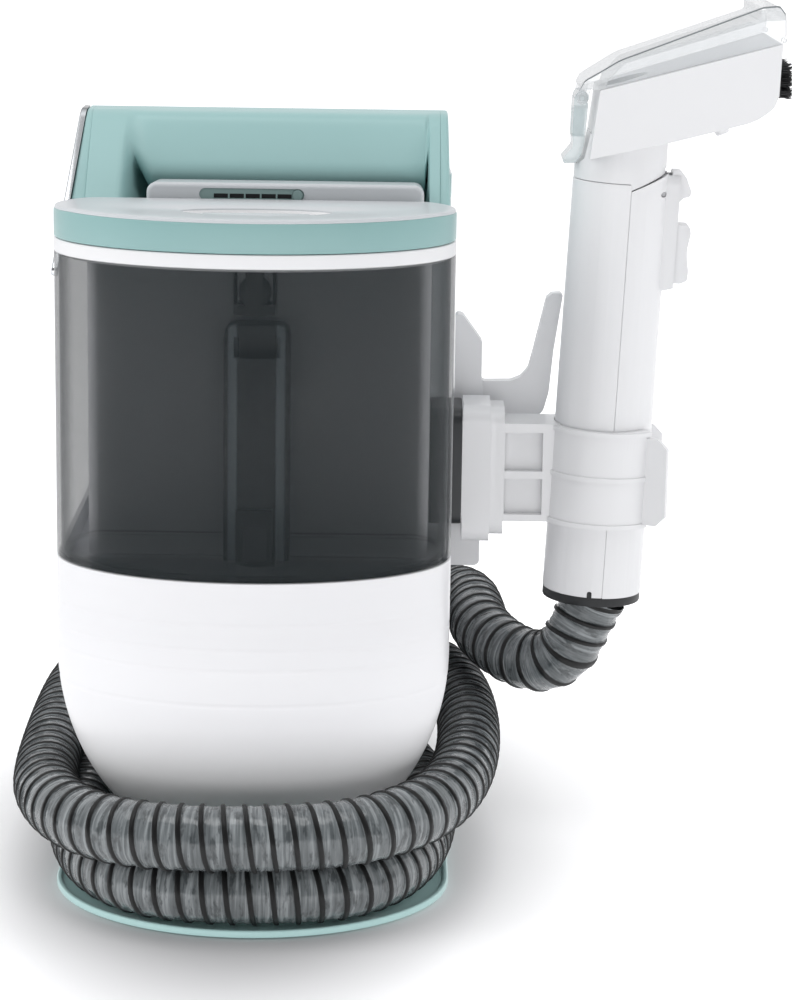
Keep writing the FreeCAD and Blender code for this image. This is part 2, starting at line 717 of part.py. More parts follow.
def make_valve():
    """The clean tank's poppet: its head closes the floor hole, its foot is pushed up by the deck."""
    seat = tank_foot_z + tank_wall
    head = rod(0, valve_y, seat + 0.1, 5.2, 2)
    stem = rod(0, valve_y, seat - 8.6, 1.6, 9)
    foot = rod(0, valve_y, seat - 8.6, 3.4, 1.2)
    save("clean_valve", joined([head, stem, foot]))
    coil = spring_solid(2.6, 0.5, 3, 5.1)
    coil.translate(V(0, valve_y, seat - tank_wall - 5.2))
    save("valve_spring", coil)


def spring_solid(r, wire, turns, height):
    """A coil of square wire about +Z, from z = 0 to height, with open ends."""
    helix = Part.makeHelix((height - 2 * wire) / turns, height - 2 * wire, r)
    pipe = Part.BRepOffsetAPI.MakePipeShell(Part.Wire(helix.Edges))
    square = [V(r - wire, 0, -wire), V(r + wire, 0, -wire), V(r + wire, 0, wire), V(r - wire, 0, wire)]
    pipe.add(Part.makePolygon(square + square[:1]))
    pipe.setFrenetMode(True)
    pipe.build()
    pipe.makeSolid()
    coil = pipe.shape()
    coil.translate(V(0, 0, wire))
    return coil


# Clip for the wand, and the cord hook behind it

clip_gap = 0.3
clip_r = 28.6
clip_low = 168.0
clip_high = 217.0
mouth_half = 36.0            # half angle of the clip's mouth, in degrees
clip_depth = 20.0            # half width of the bracket's foot along Y
flange_x0 = 101.3
flange_x1 = 115.0
flange_low = 158.0
flange_high = 228.0
step_x1 = 122.0
arm_x1 = 150.0
arm_half = 14.0
arm_pockets = ((172.0, 190.4), (194.2, 214.0))
band_t = 2.2                 # height of each raised band round the clip, and how far it stands out
band_proud = 0.8
hook_y0 = clip_depth + 0.4
hook_t = 12.0


def axis_x(z):
    """Where the wand's axis stands at height z."""
    return wand_x + (z - wand_foot) * math.tan(math.radians(wand_tilt))


def make_bracket():
    """A foot on the tower, a thick flange, a ribbed arm and a C clip open to the right."""
    y = clip_depth
    foot = rounded_block(tower_half_w + 0.1, flange_x0, -y, y, seam_z + 0.6, flange_high - 2, 7.0, "x")
    flange = rounded_block(flange_x0, flange_x1, -y, y, flange_low, flange_high, 8.0, "x")
    step = rounded_block(flange_x1, step_x1, -y + 3, y - 3, flange_low + 3, flange_high - 2, 8.0, "x")
    arm = block(step_x1, arm_x1, -arm_half, arm_half, clip_low + 0.5, clip_high + 1.5)
    for z0, z1 in arm_pockets:
        arm = arm.cut(block(step_x1 + 0.5, arm_x1 - 8.5, -arm_half - 1, arm_half - 5, z0, z1))
    below = V(axis_x(clip_low - 6), 0, clip_low - 6)
    ring = Part.makeCylinder(clip_r, clip_high - clip_low + 12, below, wand_way())
    ring = ring.common(block(flange_x0, wand_x + 90, -60, 60, clip_low, clip_high))
    bands = []
    middle = (clip_low + clip_high) / 2 - 0.5
    for z in (clip_low, middle, clip_high - band_t):
        bands.append(Part.makeCylinder(clip_r + band_proud, band_t, V(axis_x(z), 0, z), wand_way()))
    lips = []
    for way in (-1, 1):
        lip = clip_lip()
        lip.rotate(V(0, 0, 0), V(0, 0, 1), way * 24)
        spread = math.radians(mouth_half + 4)
        lip_r = clip_r - 2
        lip.translate(V(axis_x(middle) + lip_r * math.cos(spread), way * lip_r * math.sin(spread), 0))
        lips.append(lip)
    body = joined([foot, flange, step, arm, ring] + bands)
    reach = 60 * math.tan(math.radians(mouth_half))
    mouth = Part.makePolygon([V(0, 0, 100), V(60, -reach, 100), V(60, reach, 100), V(0, 0, 100)])
    mouth = Part.Face(mouth).extrude(V(0, 0, 200))
    mouth.translate(V(axis_x(middle), 0, 0))
    body = body.cut(mouth)
    body = joined([body] + lips)
    hole = on_wand(wand_cone(clip_gap, 20, 120))
    body = body.cut(hole)
    for z in bracket_screw_z:
        body = body.cut(rod(tower_half_w - 1, 0, z, 1.9, 14, V(1, 0, 0)))
        body = body.cut(rod(tower_half_w + 12, 0, z, 4.0, step_x1 - tower_half_w - 11, V(1, 0, 0)))
    save("wand_bracket", body.removeSplitter())
    screws = []
    for z in bracket_screw_z:
        shank = rod(tower_half_w - 3, 0, z, 1.8, 15, V(1, 0, 0))
        screws.append(shank.fuse(rod(tower_half_w + 12, 0, z, 3.6, 2.4, V(1, 0, 0))))
    save("bracket_screws", Part.makeCompound(screws))


def clip_lip():
    """One flared lip of the clip, with its outer corners cut off."""
    lip = block(-2, 13, -1.6, 1.6, clip_low + 0.6, clip_high - 4)
    corners = []
    for edge in lip.Edges:
        a, b = edge.Vertexes[0].Point, edge.Vertexes[1].Point
        if abs(a.y - b.y) > 1 and a.x > 5:
            corners.append(edge)
    return lip.makeChamfer(5.0, corners)


def make_hook():
    """Cord hook: a chamfered post on the housing's side with an arm that turns up."""
    x = body_half_w + 0.1
    post = [(x, 137), (111.6, 137, 3), (111, 214.9, 2), (124.9, 214.9), (142.3, 215.4, 6), (145.6, 227.7, 12),
            (147.6, 250, 40), (151.8, 279.2, 1.5), (146.0, 278.8, 1.5), (143.4, 276.6), (136.6, 247, 30),
            (134.8, 240.0, 5), (131.2, 235.6, 5), (126, 233.4, 5), (111, 233.1, 2), (111, 254, 2),
            (108.5, 257.5), (100.9, 268, 3), (97.3, 268, 1.5), (97.3, 228), (x, 222)]
    hook = side_prism(post, hook_y0, hook_y0 + hook_t)
    arm = hook.common(block(111.5, 160, hook_y0 + 4, hook_y0 + hook_t, 200, 300))
    hook = hook.cut(block(111.5, 160, hook_y0 - 1, hook_y0 + hook_t + 1, 200, 300)).fuse(arm)
    save("cord_hook", hook.removeSplitter())


# Wand

wand_len = wand_top - wand_foot
spine_low = 157.0
spine_high = 206.0
spine_x = 29.0
spine_half = 9.5
shell_low = 4.6
pivot_x = 26.0               # trigger pivot, in the wand's own frame
pivot_z = 189.0
catch_x = 20.8               # pivot of the release hook, in the wand's own frame
catch_z = 208.4
pin_r = 1.5


def wand_way():
    tilt = math.radians(wand_tilt)
    return V(math.sin(tilt), 0, math.cos(tilt))


def on_wand(shape):
    """Carry a shape from the wand's own frame, Z up its axis, to its place."""
    shape = shape.copy()
    shape.rotate(V(0, 0, 0), V(0, 1, 0), wand_tilt)
    shape.translate(V(wand_x, 0, wand_foot))
    return shape


def wand_radius(z):
    return wand_r_foot + (wand_r_top - wand_r_foot) * z / wand_len


def wand_cone(extra, z0, z1):
    return Part.makeCone(wand_radius(z0) + extra, wand_radius(z1) + extra, z1 - z0, V(0, 0, z0))


def wand_prism(points, half):
    """An outline in the wand's own X and Z, carried along Y by half each way."""
    return side_prism(points, -half, half)


def top_cut(gap):
    """What lies above the joint with the head: flat on the left, raised to the right."""
    z = wand_len - 0.5 + gap
    step = wand_split
    points = [(-60, z), (step, z), (step, z - 3.4), (60, z - 3.4 + (60 - step) * 0.44), (60, 420), (-60, 420)]
    return wand_prism(points, 60)


def make_wand():
    outer = wand_cone(0, shell_low, wand_len + 14)
    spine = rounded_block(8, spine_x, -spine_half, spine_half, spine_low, spine_high + 12, 5.0, "x")
    foot = [(8, spine_low - 1), (spine_x + 1, spine_low + 5), (spine_x + 1, spine_low - 1)]
    spine = spine.cut(wand_prism(foot, 20))
    outer = outer.fuse(spine)
    inner = wand_cone(-wand_wall, shell_low - 1, wand_len + 15)
    half = spine_half - wand_wall
    inner = inner.fuse(block(8, spine_x - wand_wall, -half, half, spine_low + 6, spine_high - 2))
    shell = outer.cut(inner).cut(top_cut(0))
    window = block(spine_x - 4, spine_x + 4, -7.0, 7.0, 162.5, 194.5)
    shell = shell.cut(window)
    shell = shell.cut(block(16, 40, -6.4, 6.4, 194.4, 240))
    for x, z in ((pivot_x, pivot_z), (catch_x, catch_z)):
        shell = shell.cut(rod(x, -30, z, pin_r, 60, V(0, 1, 0)))
    left = shell.common(block(-60, wand_split, -60, 60, 0, 300))
    right = shell.common(block(wand_split, 60, -60, 60, 0, 300))
    save("wand_left_shell", on_wand(left.removeSplitter()))
    save("wand_right_shell", on_wand(right.removeSplitter()))
    make_cuff()
    make_spray_parts()
    make_trigger()
    make_release()


hose_start = V(166.0, 0.0, 117.0)
hose_first = V(156.6, 1.4, 96.4)     # the first point of the hose's route after its start
hose_way = (hose_first - hose_start).normalize()


def make_cuff():
    """The black end fitting: a ring under the shells and a slanted socket for the hose."""
    ring = on_wand(rod(0, 0, 0, wand_r_foot - 0.2, shell_low - 0.1))
    plug = on_wand(rod(0, 0, shell_low - 0.2, wand_r_foot - wand_wall - clear, 9))
    way = hose_way
    socket = Part.makeCylinder(hose_r + 2.2, 16, hose_start, way * -1)
    cuff = joined([ring, plug, socket.common(on_wand(rod(0, 0, -40, wand_r_foot - 0.4, 44)))])
    cuff = cuff.cut(Part.makeCylinder(hose_bore, 18, hose_start - way * -1, way * -1))
    cuff = cuff.cut(on_wand(rod(0, 0, 2, hose_bore, 20)))
    save("wand_collar", cuff.removeSplitter())


def make_spray_parts():
    """The water line up the wand and the valve that the trigger presses."""
    low = rod(-10, 14.0, 14, 3.0, 158)
    save("water_tube", on_wand(low))
    valve = block(5, 14, -8, 8, 160, 184).fuse(rod(14, 0, 176, 2.6, 3, V(1, 0, 0)))
    spout = block(-11, 5, 6, 14, 172.2, 180)
    save("spray_valve", on_wand(joined([valve, spout])))


def make_trigger():
    x0 = spine_x - 5.6
    pad = [(x0, 193.2), (x0, 164.0), (spine_x + 3.4, 163.8, 2), (36.0, 165.4, 1.5), (36.3, 170.0, 8),
           (34.6, 180.0, 25), (36.2, 189.0, 5), (35.2, 193.2, 2)]
    trigger = wand_prism(pad, 6.5)
    trigger = trigger.cut(rod(pivot_x, -20, pivot_z, pin_r + 0.05, 40, V(0, 1, 0)))
    save("trigger", on_wand(trigger))
    save("trigger_pin", on_wand(rod(pivot_x, -spine_half, pivot_z, pin_r, 2 * spine_half, V(0, 1, 0))))
    coil = spring_solid(3.0, 0.5, 4, x0 - 14 - 0.2)
    coil.rotate(V(0, 0, 0), V(0, 1, 0), 90)
    coil.translate(V(14.1, 0, 168))
    save("trigger_spring", on_wand(coil))


def make_release():
    """The hook that frees the head, with its own trunnions."""
    outline = [(18, 205.4), (24.6, 203.8), (24.6, 196.4, 0.8), (28.9, 196.4, 0.8), (29.3, 204.6, 2),
               (31.4, 206.6, 1.2), (34.5, 207.4, 1.2), (34.8, 210.2, 1.5), (32.2, 216.4, 4), (29.4, 219.8, 2),
               (25.0, 219.8, 1), (24.4, 212), (18, 211.4)]
    lever = wand_prism(outline, 6.0)
    pins = rod(catch_x, -8.5, catch_z, pin_r - 0.05, 17, V(0, 1, 0))
    save("release_hook", on_wand(lever.fuse(pins).removeSplitter()))


# Cleaning head

head_near = 151.0
head_far = 262.0
head_half_near = 23.4
head_half_far = 43.4
window_wall = 2.0
spigot_r = 20.6
latch_x = 156.6
latch_z = 381.2
latch_half = 10.4
mouth_x = 254.6              # far end of the head, where its mouth opens
brush_half = 36.0
tuft_count = 14
tuft_gap = 1.0
window_hinge = (255.2, 412.5)  # axis of the clear cover's hinge, as X and Z


def head_plan(inset, z0=300, z1=460):
    """The head seen from above: it widens towards its mouth."""
    a, b = head_half_near - inset, head_half_far - inset
    plan = [(head_near, -a), (head_far, -b), (head_far, b), (head_near, a)]
    return outline_face(plan, lambda x, y: V(x, y, z0)).extrude(V(0, 0, z1 - z0))


def head_outline():
    """Side of the head: sloping top, upright mouth end and a belly that curves into the neck."""
    top_left = V(164.6, 0, 386.2)
    top_right = V(mouth_x, 0, 410.8)
    nose = V(mouth_x - 0.9, 0, 386.0)
    chin_a, chin_b, chin_c = V(251.6, 0, 380.6), V(245.0, 0, 375.3), V(236.0, 0, 371.6)
    heel = V(160.4, 0, 352.5)
    under = V(203.0, 0, 362.6)
    edges = [Part.makeLine(top_left, top_right), Part.makeLine(top_right, nose), Part.makeLine(nose, chin_a),
             Part.Arc(chin_a, chin_b, chin_c).toShape(), Part.makeLine(chin_c, under),
             Part.makeLine(under, heel), Part.makeLine(heel, top_left)]
    return Part.Face(Part.Wire(edges))


def make_head():
    body = head_outline()
    body.translate(V(0, -60, 0))
    body = body.extrude(V(0, 120, 0)).common(head_plan(0))
    neck = on_wand(wand_cone(-0.2, wand_len - 8, 238).cut(block(-60, 60, -60, 60, 0, 190)))
    neck = neck.cut(on_wand(block(-60, 60, -60, 60, 0, 300).cut(top_cut(clear))))
    neck = neck.common(block(100, 260, -60, 60, 300, 364))
    notch = [(140, 348.6), (155.4, 348.6), (158.6, 352.0), (161.2, 364.5), (140, 364.5)]
    neck = neck.cut(side_prism(notch, -60, 60))
    duct = on_wand(Part.makeCylinder(spigot_r, 22, V(0, 0, wand_len - 14)))
    duct = duct.cut(on_wand(block(14, 60, -60, 60, 0, 300)))
    body = joined([body, neck, duct])
    body = body.cut(on_wand(rod(-2, 0, wand_len - 15, 12.5, 90)))
    body = body.cut(on_wand(block(15.5, 60, -6.8, 6.8, wand_len - 20, wand_len + 7)))
    tip = Part.makeCone(5.0, 3.4, 7.0, V(228, 0, 370.2), V(0.35, 0, -0.94))
    save("head_body", body.cut(tip).removeSplitter())
    save("spray_tip", tip)
    make_window()
    make_brush()


def make_window():
    """The clear cover over the suction channel, with ears that carry the latch."""
    outer = [(155.0, 386.6), (157.0, 390.6, 3), (174.8, 401.4, 25), (243.5, 423.0, 2), (243.2, 427.8, 1.2),
             (252.2, 428.7, 1.5), (255.4, 424.8, 1.5), (255.8, 415.4), (mouth_x, 411.2), (164.4, 386.5)]
    cover = side_prism(outer, -60, 60).common(head_plan(0.1))
    inner = [(165.0, 380.0), (168.4, 390.8), (177.0, 399.6), (246.0, 421.4), (260.0, 422.5), (260.0, 405.0)]
    cover = cover.cut(side_prism(inner, -60, 60).common(head_plan(window_wall)))
    ears = []
    for y in (-latch_half - 2.4, latch_half + 0.3):
        ear = [(latch_x - 3, latch_z), (latch_x + 3, latch_z), (latch_x + 4.6, 387.2), (155.2, 387.0)]
        ears.append(side_prism(ear, y, y + 2.1).fuse(rod(latch_x, y, latch_z, 3.0, 2.1, V(0, 1, 0))))
    bosses = []
    for y in (-brush_half - 4.6, brush_half + 1.6):
        bosses.append(rod(window_hinge[0], y, window_hinge[1], 1.3, 3.0, V(0, 1, 0)))
    cover = joined([cover] + ears + bosses)
    cover = cover.cut(rod(latch_x, -30, latch_z, 1.25, 60, V(0, 1, 0)))
    save("head_window", cover.removeSplitter())
    outline = [(152.8, 381.0), (152.2, 363.4, 10), (152.8, 357.2, 3), (148.0, 351.5, 1), (148.4, 349.1, 1),
               (154.2, 349.2, 1.5), (157.0, 352.8, 3), (158.6, 360.4, 10), (159.8, 378.5)]
    latch = side_prism(outline, -latch_half, latch_half)
    latch = latch.fuse(rod(latch_x, -latch_half, latch_z, 3.4, 2 * latch_half, V(0, 1, 0)))
    latch = latch.fuse(rod(latch_x, -latch_half - 2.4, latch_z, 1.2, 2 * latch_half + 4.8, V(0, 1, 0)))
    slot = side_prism([(150, 376), (150, 362), (165, 362), (165, 376)], -latch_half + 3, latch_half - 3)
    save("head_latch", latch.cut(slot).removeSplitter())


def make_brush():
    """Two rows of bristle tufts on a strip across the mouth end."""
    tufts = [(252.3, 382.2), (257.9, 382.3), (259.9, 386.0), (258.5, 389.6), (258.5, 391.6), (260.0, 395.0),
             (259.5, 398.6), (257.4, 400.6), (254.35, 400.4), (253.8, 386.1)]
    brush = side_prism(tufts, -brush_half, brush_half)
    pitch = 2 * brush_half / tuft_count
    for n in range(1, tuft_count):
        y = -brush_half + n * pitch
        brush = brush.cut(block(mouth_x + 1, mouth_x + 8, y - tuft_gap / 2, y + tuft_gap / 2, 380, 404))
    save("brush_bristles", brush)


# Suction hose: a free run from the wand round the back, then turns wound on the base plate

run_points = [(144.6, 8.5, 88.5), (131, 21, 89), (120.5, 38, 92), (113.5, 57, 95), (111.5, 80, 98),
              (108.5, 105, 99), (96, 136, 97), (70, 165, 89), (34, 184, 79), (-6, 189, 70), (-46, 180, 61),
              (-78, 156, 54), (-98, 124, 50), (-107, 88, 48)]
# Half width, half length and height of the turns at an angle round the body, in degrees
coil_keys = [(180, 108, 163, 47), (225, 110, 166, 50), (270, 110, 168, 52.6), (315, 109, 166, 55),
             (360, 110, 163, 58), (405, 112, 169, 59), (450, 102, 169, 41), (495, 88, 161, 25),
             (540, 86, 156, 20.4), (630, 86, 157, 20.0), (720, 81.5, 155, 19.5)]
coil_start = 196.0
coil_stop = 718.0
coil_step = 18.0
front_square = 2.8           # how square the turns' plan is in front, and behind
back_square = 2.35
bend_share = 0.45            # share of the shorter run that a bend takes


def coil_point(angle):
    """A point of the turns: a squared oval whose size and height change smoothly between the keys."""
    for low, high in zip(coil_keys, coil_keys[1:]):
        if low[0] <= angle <= high[0]:
            share = (angle - low[0]) / (high[0] - low[0])
            share = share * share * (3 - 2 * share)
            half_w, half_l, z = [p + (q - p) * share for p, q in zip(low[1:], high[1:])]
    turn = math.radians(angle)
    c, q = math.cos(turn), math.sin(turn)
    power = 2 / (front_square if q < 0 else back_square)
    return V(math.copysign(half_w * abs(c) ** power, c), math.copysign(half_l * abs(q) ** power, q), z)


def hose_corners():
    """The whole route: out of the wand's cuff, round the body, and into the port's mouth."""
    route = [hose_start, hose_first] + [V(*p) for p in run_points]
    angle = coil_start
    while angle <= coil_stop:
        route.append(coil_point(angle))
        angle += coil_step
    end, mouth_way = mouth_end()
    route.append(end + mouth_way * (2 * hose_r))
    route.append(end)
    return route, len(run_points) + 1


def hose_spans(route):
    """Straight runs and tangent arcs along the route, each as start, end, centre and turn axis."""
    spans = []
    radii = []
    start = route[0]
    for a, b, c in zip(route, route[1:], route[2:]):
        u = (b - a).normalize()
        w = (c - b).normalize()
        turn = math.acos(max(-1.0, min(1.0, u.dot(w))))
        reach = bend_share * min((b - a).Length, (c - b).Length)
        radius = reach / math.tan(turn / 2)
        radii.append(radius)
        p, q = b - u * reach, b + w * reach
        spans.append((start, p, None, None, 0.0))
        axis = u.cross(w).normalize()
        centre = p + axis.cross(u) * radius
        spans.append((p, q, centre, axis, turn))
        start = q
    spans.append((start, route[-1], None, None, 0.0))
    return spans, radii


def span_length(span):
    p, q, centre, axis, turn = span
    return (q - p).Length if centre is None else (p - centre).Length * turn


def span_at(span, distance):
    """Point and direction along one span."""
    p, q, centre, axis, turn = span
    if centre is None:
        way = (q - p).normalize()
        return p + way * distance, way
    angle = distance / (p - centre).Length
    spin = FreeCAD.Rotation(axis, math.degrees(angle))
    arm = spin.multVec(p - centre)
    return centre + arm, axis.cross(arm).normalize()


def along(spans, distance):
    for span in spans:
        length = span_length(span)
        if distance <= length:
            return span_at(span, distance)
        distance -= length
    return span_at(spans[-1], span_length(spans[-1]))


def ring_at(point, way, side, radius):
    """A polygon round the hose's axis, its first corner on the carried side direction."""
    up = way.cross(side)
    corners = []
    for n in range(rib_sides):
        angle = 2 * math.pi * n / rib_sides
        corners.append(point + side * (radius * math.cos(angle)) + up * (radius * math.sin(angle)))
    return Part.makePolygon(corners + corners[:1])


def ribbed_tube(spans, start, stop):
    """A closed ribbed tube with its bore between two distances along the route."""
    count = round((stop - start - 2 * end_cuff) / rib_pitch)
    pitch = (stop - start - 2 * end_cuff) / count
    stations = [(start, hose_r, True), (start + end_cuff, hose_r, False)]
    for n in range(count):
        s = start + end_cuff + n * pitch
        stations.append((s + 0.16 * pitch, hose_r - groove_depth, True))
        stations.append((s + 0.34 * pitch, hose_r - groove_depth, False))
        stations += [(s + 0.5 * pitch, hose_r, False), (s + pitch, hose_r, False)]
    stations.append((stop, hose_r, True))
    outer = []
    inner = []
    side = None
    for s, radius, bored in stations:
        point, way = along(spans, s)
        if side is None:
            side = way.cross(V(0, 0, 1)).normalize()
        side = (side - way * side.dot(way)).normalize()
        outer.append(ring_at(point, way, side, radius))
        if bored:
            inner.append(ring_at(point, way, side, hose_bore))
    bore = Part.makeLoft(inner, False, True)
    bore.reverse()
    ends = [Part.Face([outer[0], inner[0]]), Part.Face([outer[-1], inner[-1]])]
    shell = Part.makeShell(Part.makeLoft(outer, False, True).Faces + bore.Faces + ends)
    shell.sewShape()
    solid = Part.makeSolid(shell)
    solid.fix(1e-4, 1e-4, 1e-3)
    return solid


end_cuff = 3.0


def make_hose():
    route, run_count = hose_corners()
    spans, radii = hose_spans(route)
    total = sum(span_length(s) for s in spans)
    split = sum(span_length(s) for s in spans[:2 * run_count]) + span_length(spans[2 * run_count]) / 2
    save("hose_run", ribbed_tube(spans, 0, split))
    save("hose_coil", ribbed_tube(spans, split, total))
    print("hose length", round(total), "least radius", round(min(radii)), "radii", [round(r) for r in radii])
    print("least gap of the hose to itself", round(self_gap(spans, total), 2))


def self_gap(spans, total):
    """Least space between two stretches of the hose that are not neighbours."""
    step = 6.0
    count = int(total / step)
    points = [along(spans, n * step)[0] for n in range(count + 1)]
    apart = int(5 * hose_r / step)
    least = 1e9
    for n, p in enumerate(points):
        for q in points[n + apart:]:
            least = min(least, (p - q).Length)
    return least - 2 * hose_r


make_base()
make_lower_housing()
make_ports()
make_deck()
make_tower()
make_handle()
make_side_caps()
make_console()
make_blower()
make_tanks()
make_bracket()
make_hook()
make_wand()
make_head()
make_hose()
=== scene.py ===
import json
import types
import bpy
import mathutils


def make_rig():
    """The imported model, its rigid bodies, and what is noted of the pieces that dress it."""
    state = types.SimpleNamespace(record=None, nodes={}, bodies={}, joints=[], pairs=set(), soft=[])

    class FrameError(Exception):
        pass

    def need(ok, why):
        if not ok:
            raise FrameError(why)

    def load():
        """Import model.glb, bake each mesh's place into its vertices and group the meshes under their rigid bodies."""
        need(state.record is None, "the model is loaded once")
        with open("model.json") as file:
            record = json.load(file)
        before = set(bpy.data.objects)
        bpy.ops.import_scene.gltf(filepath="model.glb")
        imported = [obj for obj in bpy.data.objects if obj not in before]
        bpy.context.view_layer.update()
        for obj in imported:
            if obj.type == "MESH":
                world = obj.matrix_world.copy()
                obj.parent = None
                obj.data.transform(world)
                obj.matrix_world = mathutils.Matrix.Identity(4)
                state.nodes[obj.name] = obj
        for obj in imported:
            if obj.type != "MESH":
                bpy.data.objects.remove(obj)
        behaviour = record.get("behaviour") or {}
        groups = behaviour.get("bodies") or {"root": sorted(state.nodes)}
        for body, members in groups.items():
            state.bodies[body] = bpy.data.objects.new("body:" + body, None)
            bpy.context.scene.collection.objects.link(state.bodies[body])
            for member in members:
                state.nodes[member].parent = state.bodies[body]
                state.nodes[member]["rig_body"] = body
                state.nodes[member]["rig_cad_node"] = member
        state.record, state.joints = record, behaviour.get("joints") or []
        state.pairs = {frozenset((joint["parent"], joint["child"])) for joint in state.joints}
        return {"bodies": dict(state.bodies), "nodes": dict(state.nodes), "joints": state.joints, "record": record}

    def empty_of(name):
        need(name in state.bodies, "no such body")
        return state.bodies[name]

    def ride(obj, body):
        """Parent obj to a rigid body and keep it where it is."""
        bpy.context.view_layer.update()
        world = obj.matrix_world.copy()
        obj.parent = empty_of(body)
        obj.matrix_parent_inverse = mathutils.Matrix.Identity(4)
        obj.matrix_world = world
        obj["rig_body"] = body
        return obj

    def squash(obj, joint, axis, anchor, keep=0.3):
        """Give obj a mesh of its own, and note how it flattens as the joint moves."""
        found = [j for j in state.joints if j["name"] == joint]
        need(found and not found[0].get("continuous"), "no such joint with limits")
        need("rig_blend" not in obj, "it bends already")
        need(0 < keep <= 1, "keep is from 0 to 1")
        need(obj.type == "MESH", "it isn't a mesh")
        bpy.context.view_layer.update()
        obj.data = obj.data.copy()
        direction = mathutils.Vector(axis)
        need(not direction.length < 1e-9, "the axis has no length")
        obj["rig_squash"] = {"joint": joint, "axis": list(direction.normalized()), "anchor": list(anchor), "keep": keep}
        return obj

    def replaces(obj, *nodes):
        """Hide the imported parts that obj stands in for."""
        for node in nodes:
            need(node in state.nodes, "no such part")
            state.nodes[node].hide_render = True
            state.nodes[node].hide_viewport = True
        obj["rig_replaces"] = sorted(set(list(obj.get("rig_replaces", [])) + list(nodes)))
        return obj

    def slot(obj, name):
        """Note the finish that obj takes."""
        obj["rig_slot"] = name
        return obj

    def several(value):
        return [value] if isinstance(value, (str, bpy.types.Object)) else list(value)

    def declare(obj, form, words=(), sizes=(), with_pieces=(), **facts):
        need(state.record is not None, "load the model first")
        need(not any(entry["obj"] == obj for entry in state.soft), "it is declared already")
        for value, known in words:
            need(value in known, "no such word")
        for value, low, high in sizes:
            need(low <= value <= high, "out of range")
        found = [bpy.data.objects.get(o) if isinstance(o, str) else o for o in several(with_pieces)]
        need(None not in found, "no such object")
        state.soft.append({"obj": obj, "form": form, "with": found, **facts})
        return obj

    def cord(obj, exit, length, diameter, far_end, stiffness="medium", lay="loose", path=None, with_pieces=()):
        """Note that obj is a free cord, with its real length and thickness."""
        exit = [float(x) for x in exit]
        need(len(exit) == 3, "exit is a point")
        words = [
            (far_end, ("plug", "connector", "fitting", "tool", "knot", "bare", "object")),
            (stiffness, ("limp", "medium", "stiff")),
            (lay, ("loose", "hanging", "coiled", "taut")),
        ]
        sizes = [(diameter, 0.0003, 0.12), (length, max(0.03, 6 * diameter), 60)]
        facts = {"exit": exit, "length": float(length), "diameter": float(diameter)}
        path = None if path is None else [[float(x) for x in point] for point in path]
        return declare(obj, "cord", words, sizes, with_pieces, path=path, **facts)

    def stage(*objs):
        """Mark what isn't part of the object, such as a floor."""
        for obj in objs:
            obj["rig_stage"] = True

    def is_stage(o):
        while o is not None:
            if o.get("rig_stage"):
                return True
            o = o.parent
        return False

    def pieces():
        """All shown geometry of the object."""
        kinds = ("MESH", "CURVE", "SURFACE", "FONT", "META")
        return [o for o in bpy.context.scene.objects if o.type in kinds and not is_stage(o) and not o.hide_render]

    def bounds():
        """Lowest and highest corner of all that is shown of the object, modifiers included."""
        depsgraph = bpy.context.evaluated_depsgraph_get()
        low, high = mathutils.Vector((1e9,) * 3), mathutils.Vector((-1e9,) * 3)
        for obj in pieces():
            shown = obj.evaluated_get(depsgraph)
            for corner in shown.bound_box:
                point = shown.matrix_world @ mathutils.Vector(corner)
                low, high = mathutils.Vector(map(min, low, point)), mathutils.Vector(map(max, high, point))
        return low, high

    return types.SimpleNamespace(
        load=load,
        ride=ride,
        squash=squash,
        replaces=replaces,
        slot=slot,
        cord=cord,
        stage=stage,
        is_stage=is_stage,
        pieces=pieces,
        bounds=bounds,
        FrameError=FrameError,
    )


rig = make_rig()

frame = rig.load()

import json
import math

import bmesh
import bpy
import numpy as np
from mathutils import Matrix, Vector

nodes = frame["nodes"]
bodyOf = {node: body for body, group in frame["record"]["behaviour"]["bodies"].items() for node in group}
slotOf = {part["node"]: part["material_slot"] for part in frame["record"]["subparts"]}
cadBox = [list(corner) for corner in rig.bounds()]
print("frame loaded:", len(nodes), "nodes")


# Small helpers

def srgb(r, g, b):
    # A colour as it shows on a screen, 0 to 255, turned into linear light
    parts = []
    for c in (r, g, b):
        c /= 255.0
        parts.append(c / 12.92 if c <= 0.04045 else ((c + 0.055) / 1.055) ** 2.4)
    return (*parts, 1.0)


def smooth(share):
    # An even step from 0 to 1: 3 t^2 - 2 t^3
    t = np.clip(share, 0, 1)
    return t * t * (3 - 2 * t)


def gridFaces(rows, columns, closeRows=False, closeColumns=False):
    # Quads over a grid of rows by columns points, numbered row by row
    r = np.arange(rows if closeRows else rows - 1)
    c = np.arange(columns if closeColumns else columns - 1)
    i, j = np.meshgrid(r, c, indexing="ij")
    nextI, nextJ = (i + 1) % rows, (j + 1) % columns
    quads = np.stack([i * columns + j, i * columns + nextJ, nextI * columns + nextJ, nextI * columns + j], -1)
    return quads.reshape(-1, 4)


def newObject(name, data):
    obj = bpy.data.objects.new(name, data)
    bpy.context.scene.collection.objects.link(obj)
    return obj


def newMesh(name, points, faces):
    mesh = bpy.data.meshes.new(name)
    mesh.from_pydata(np.asarray(points, float).reshape(-1, 3).tolist(), [], faces)
    return mesh


def addPiece(name, mesh, body, material, slot, sharp, replaces=()):
    # A mesh as a smooth piece that rides on its body, with its edges sharper than an angle in degrees kept
    obj = newObject(name, mesh)
    mesh.materials.clear()
    mesh.materials.append(material)
    mesh.polygons.foreach_set("use_smooth", np.ones(len(mesh.polygons), bool))
    mesh.set_sharp_from_angle(angle=math.radians(sharp))
    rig.ride(obj, body)
    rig.slot(obj, slot)
    if replaces:
        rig.replaces(obj, *replaces)
    return obj


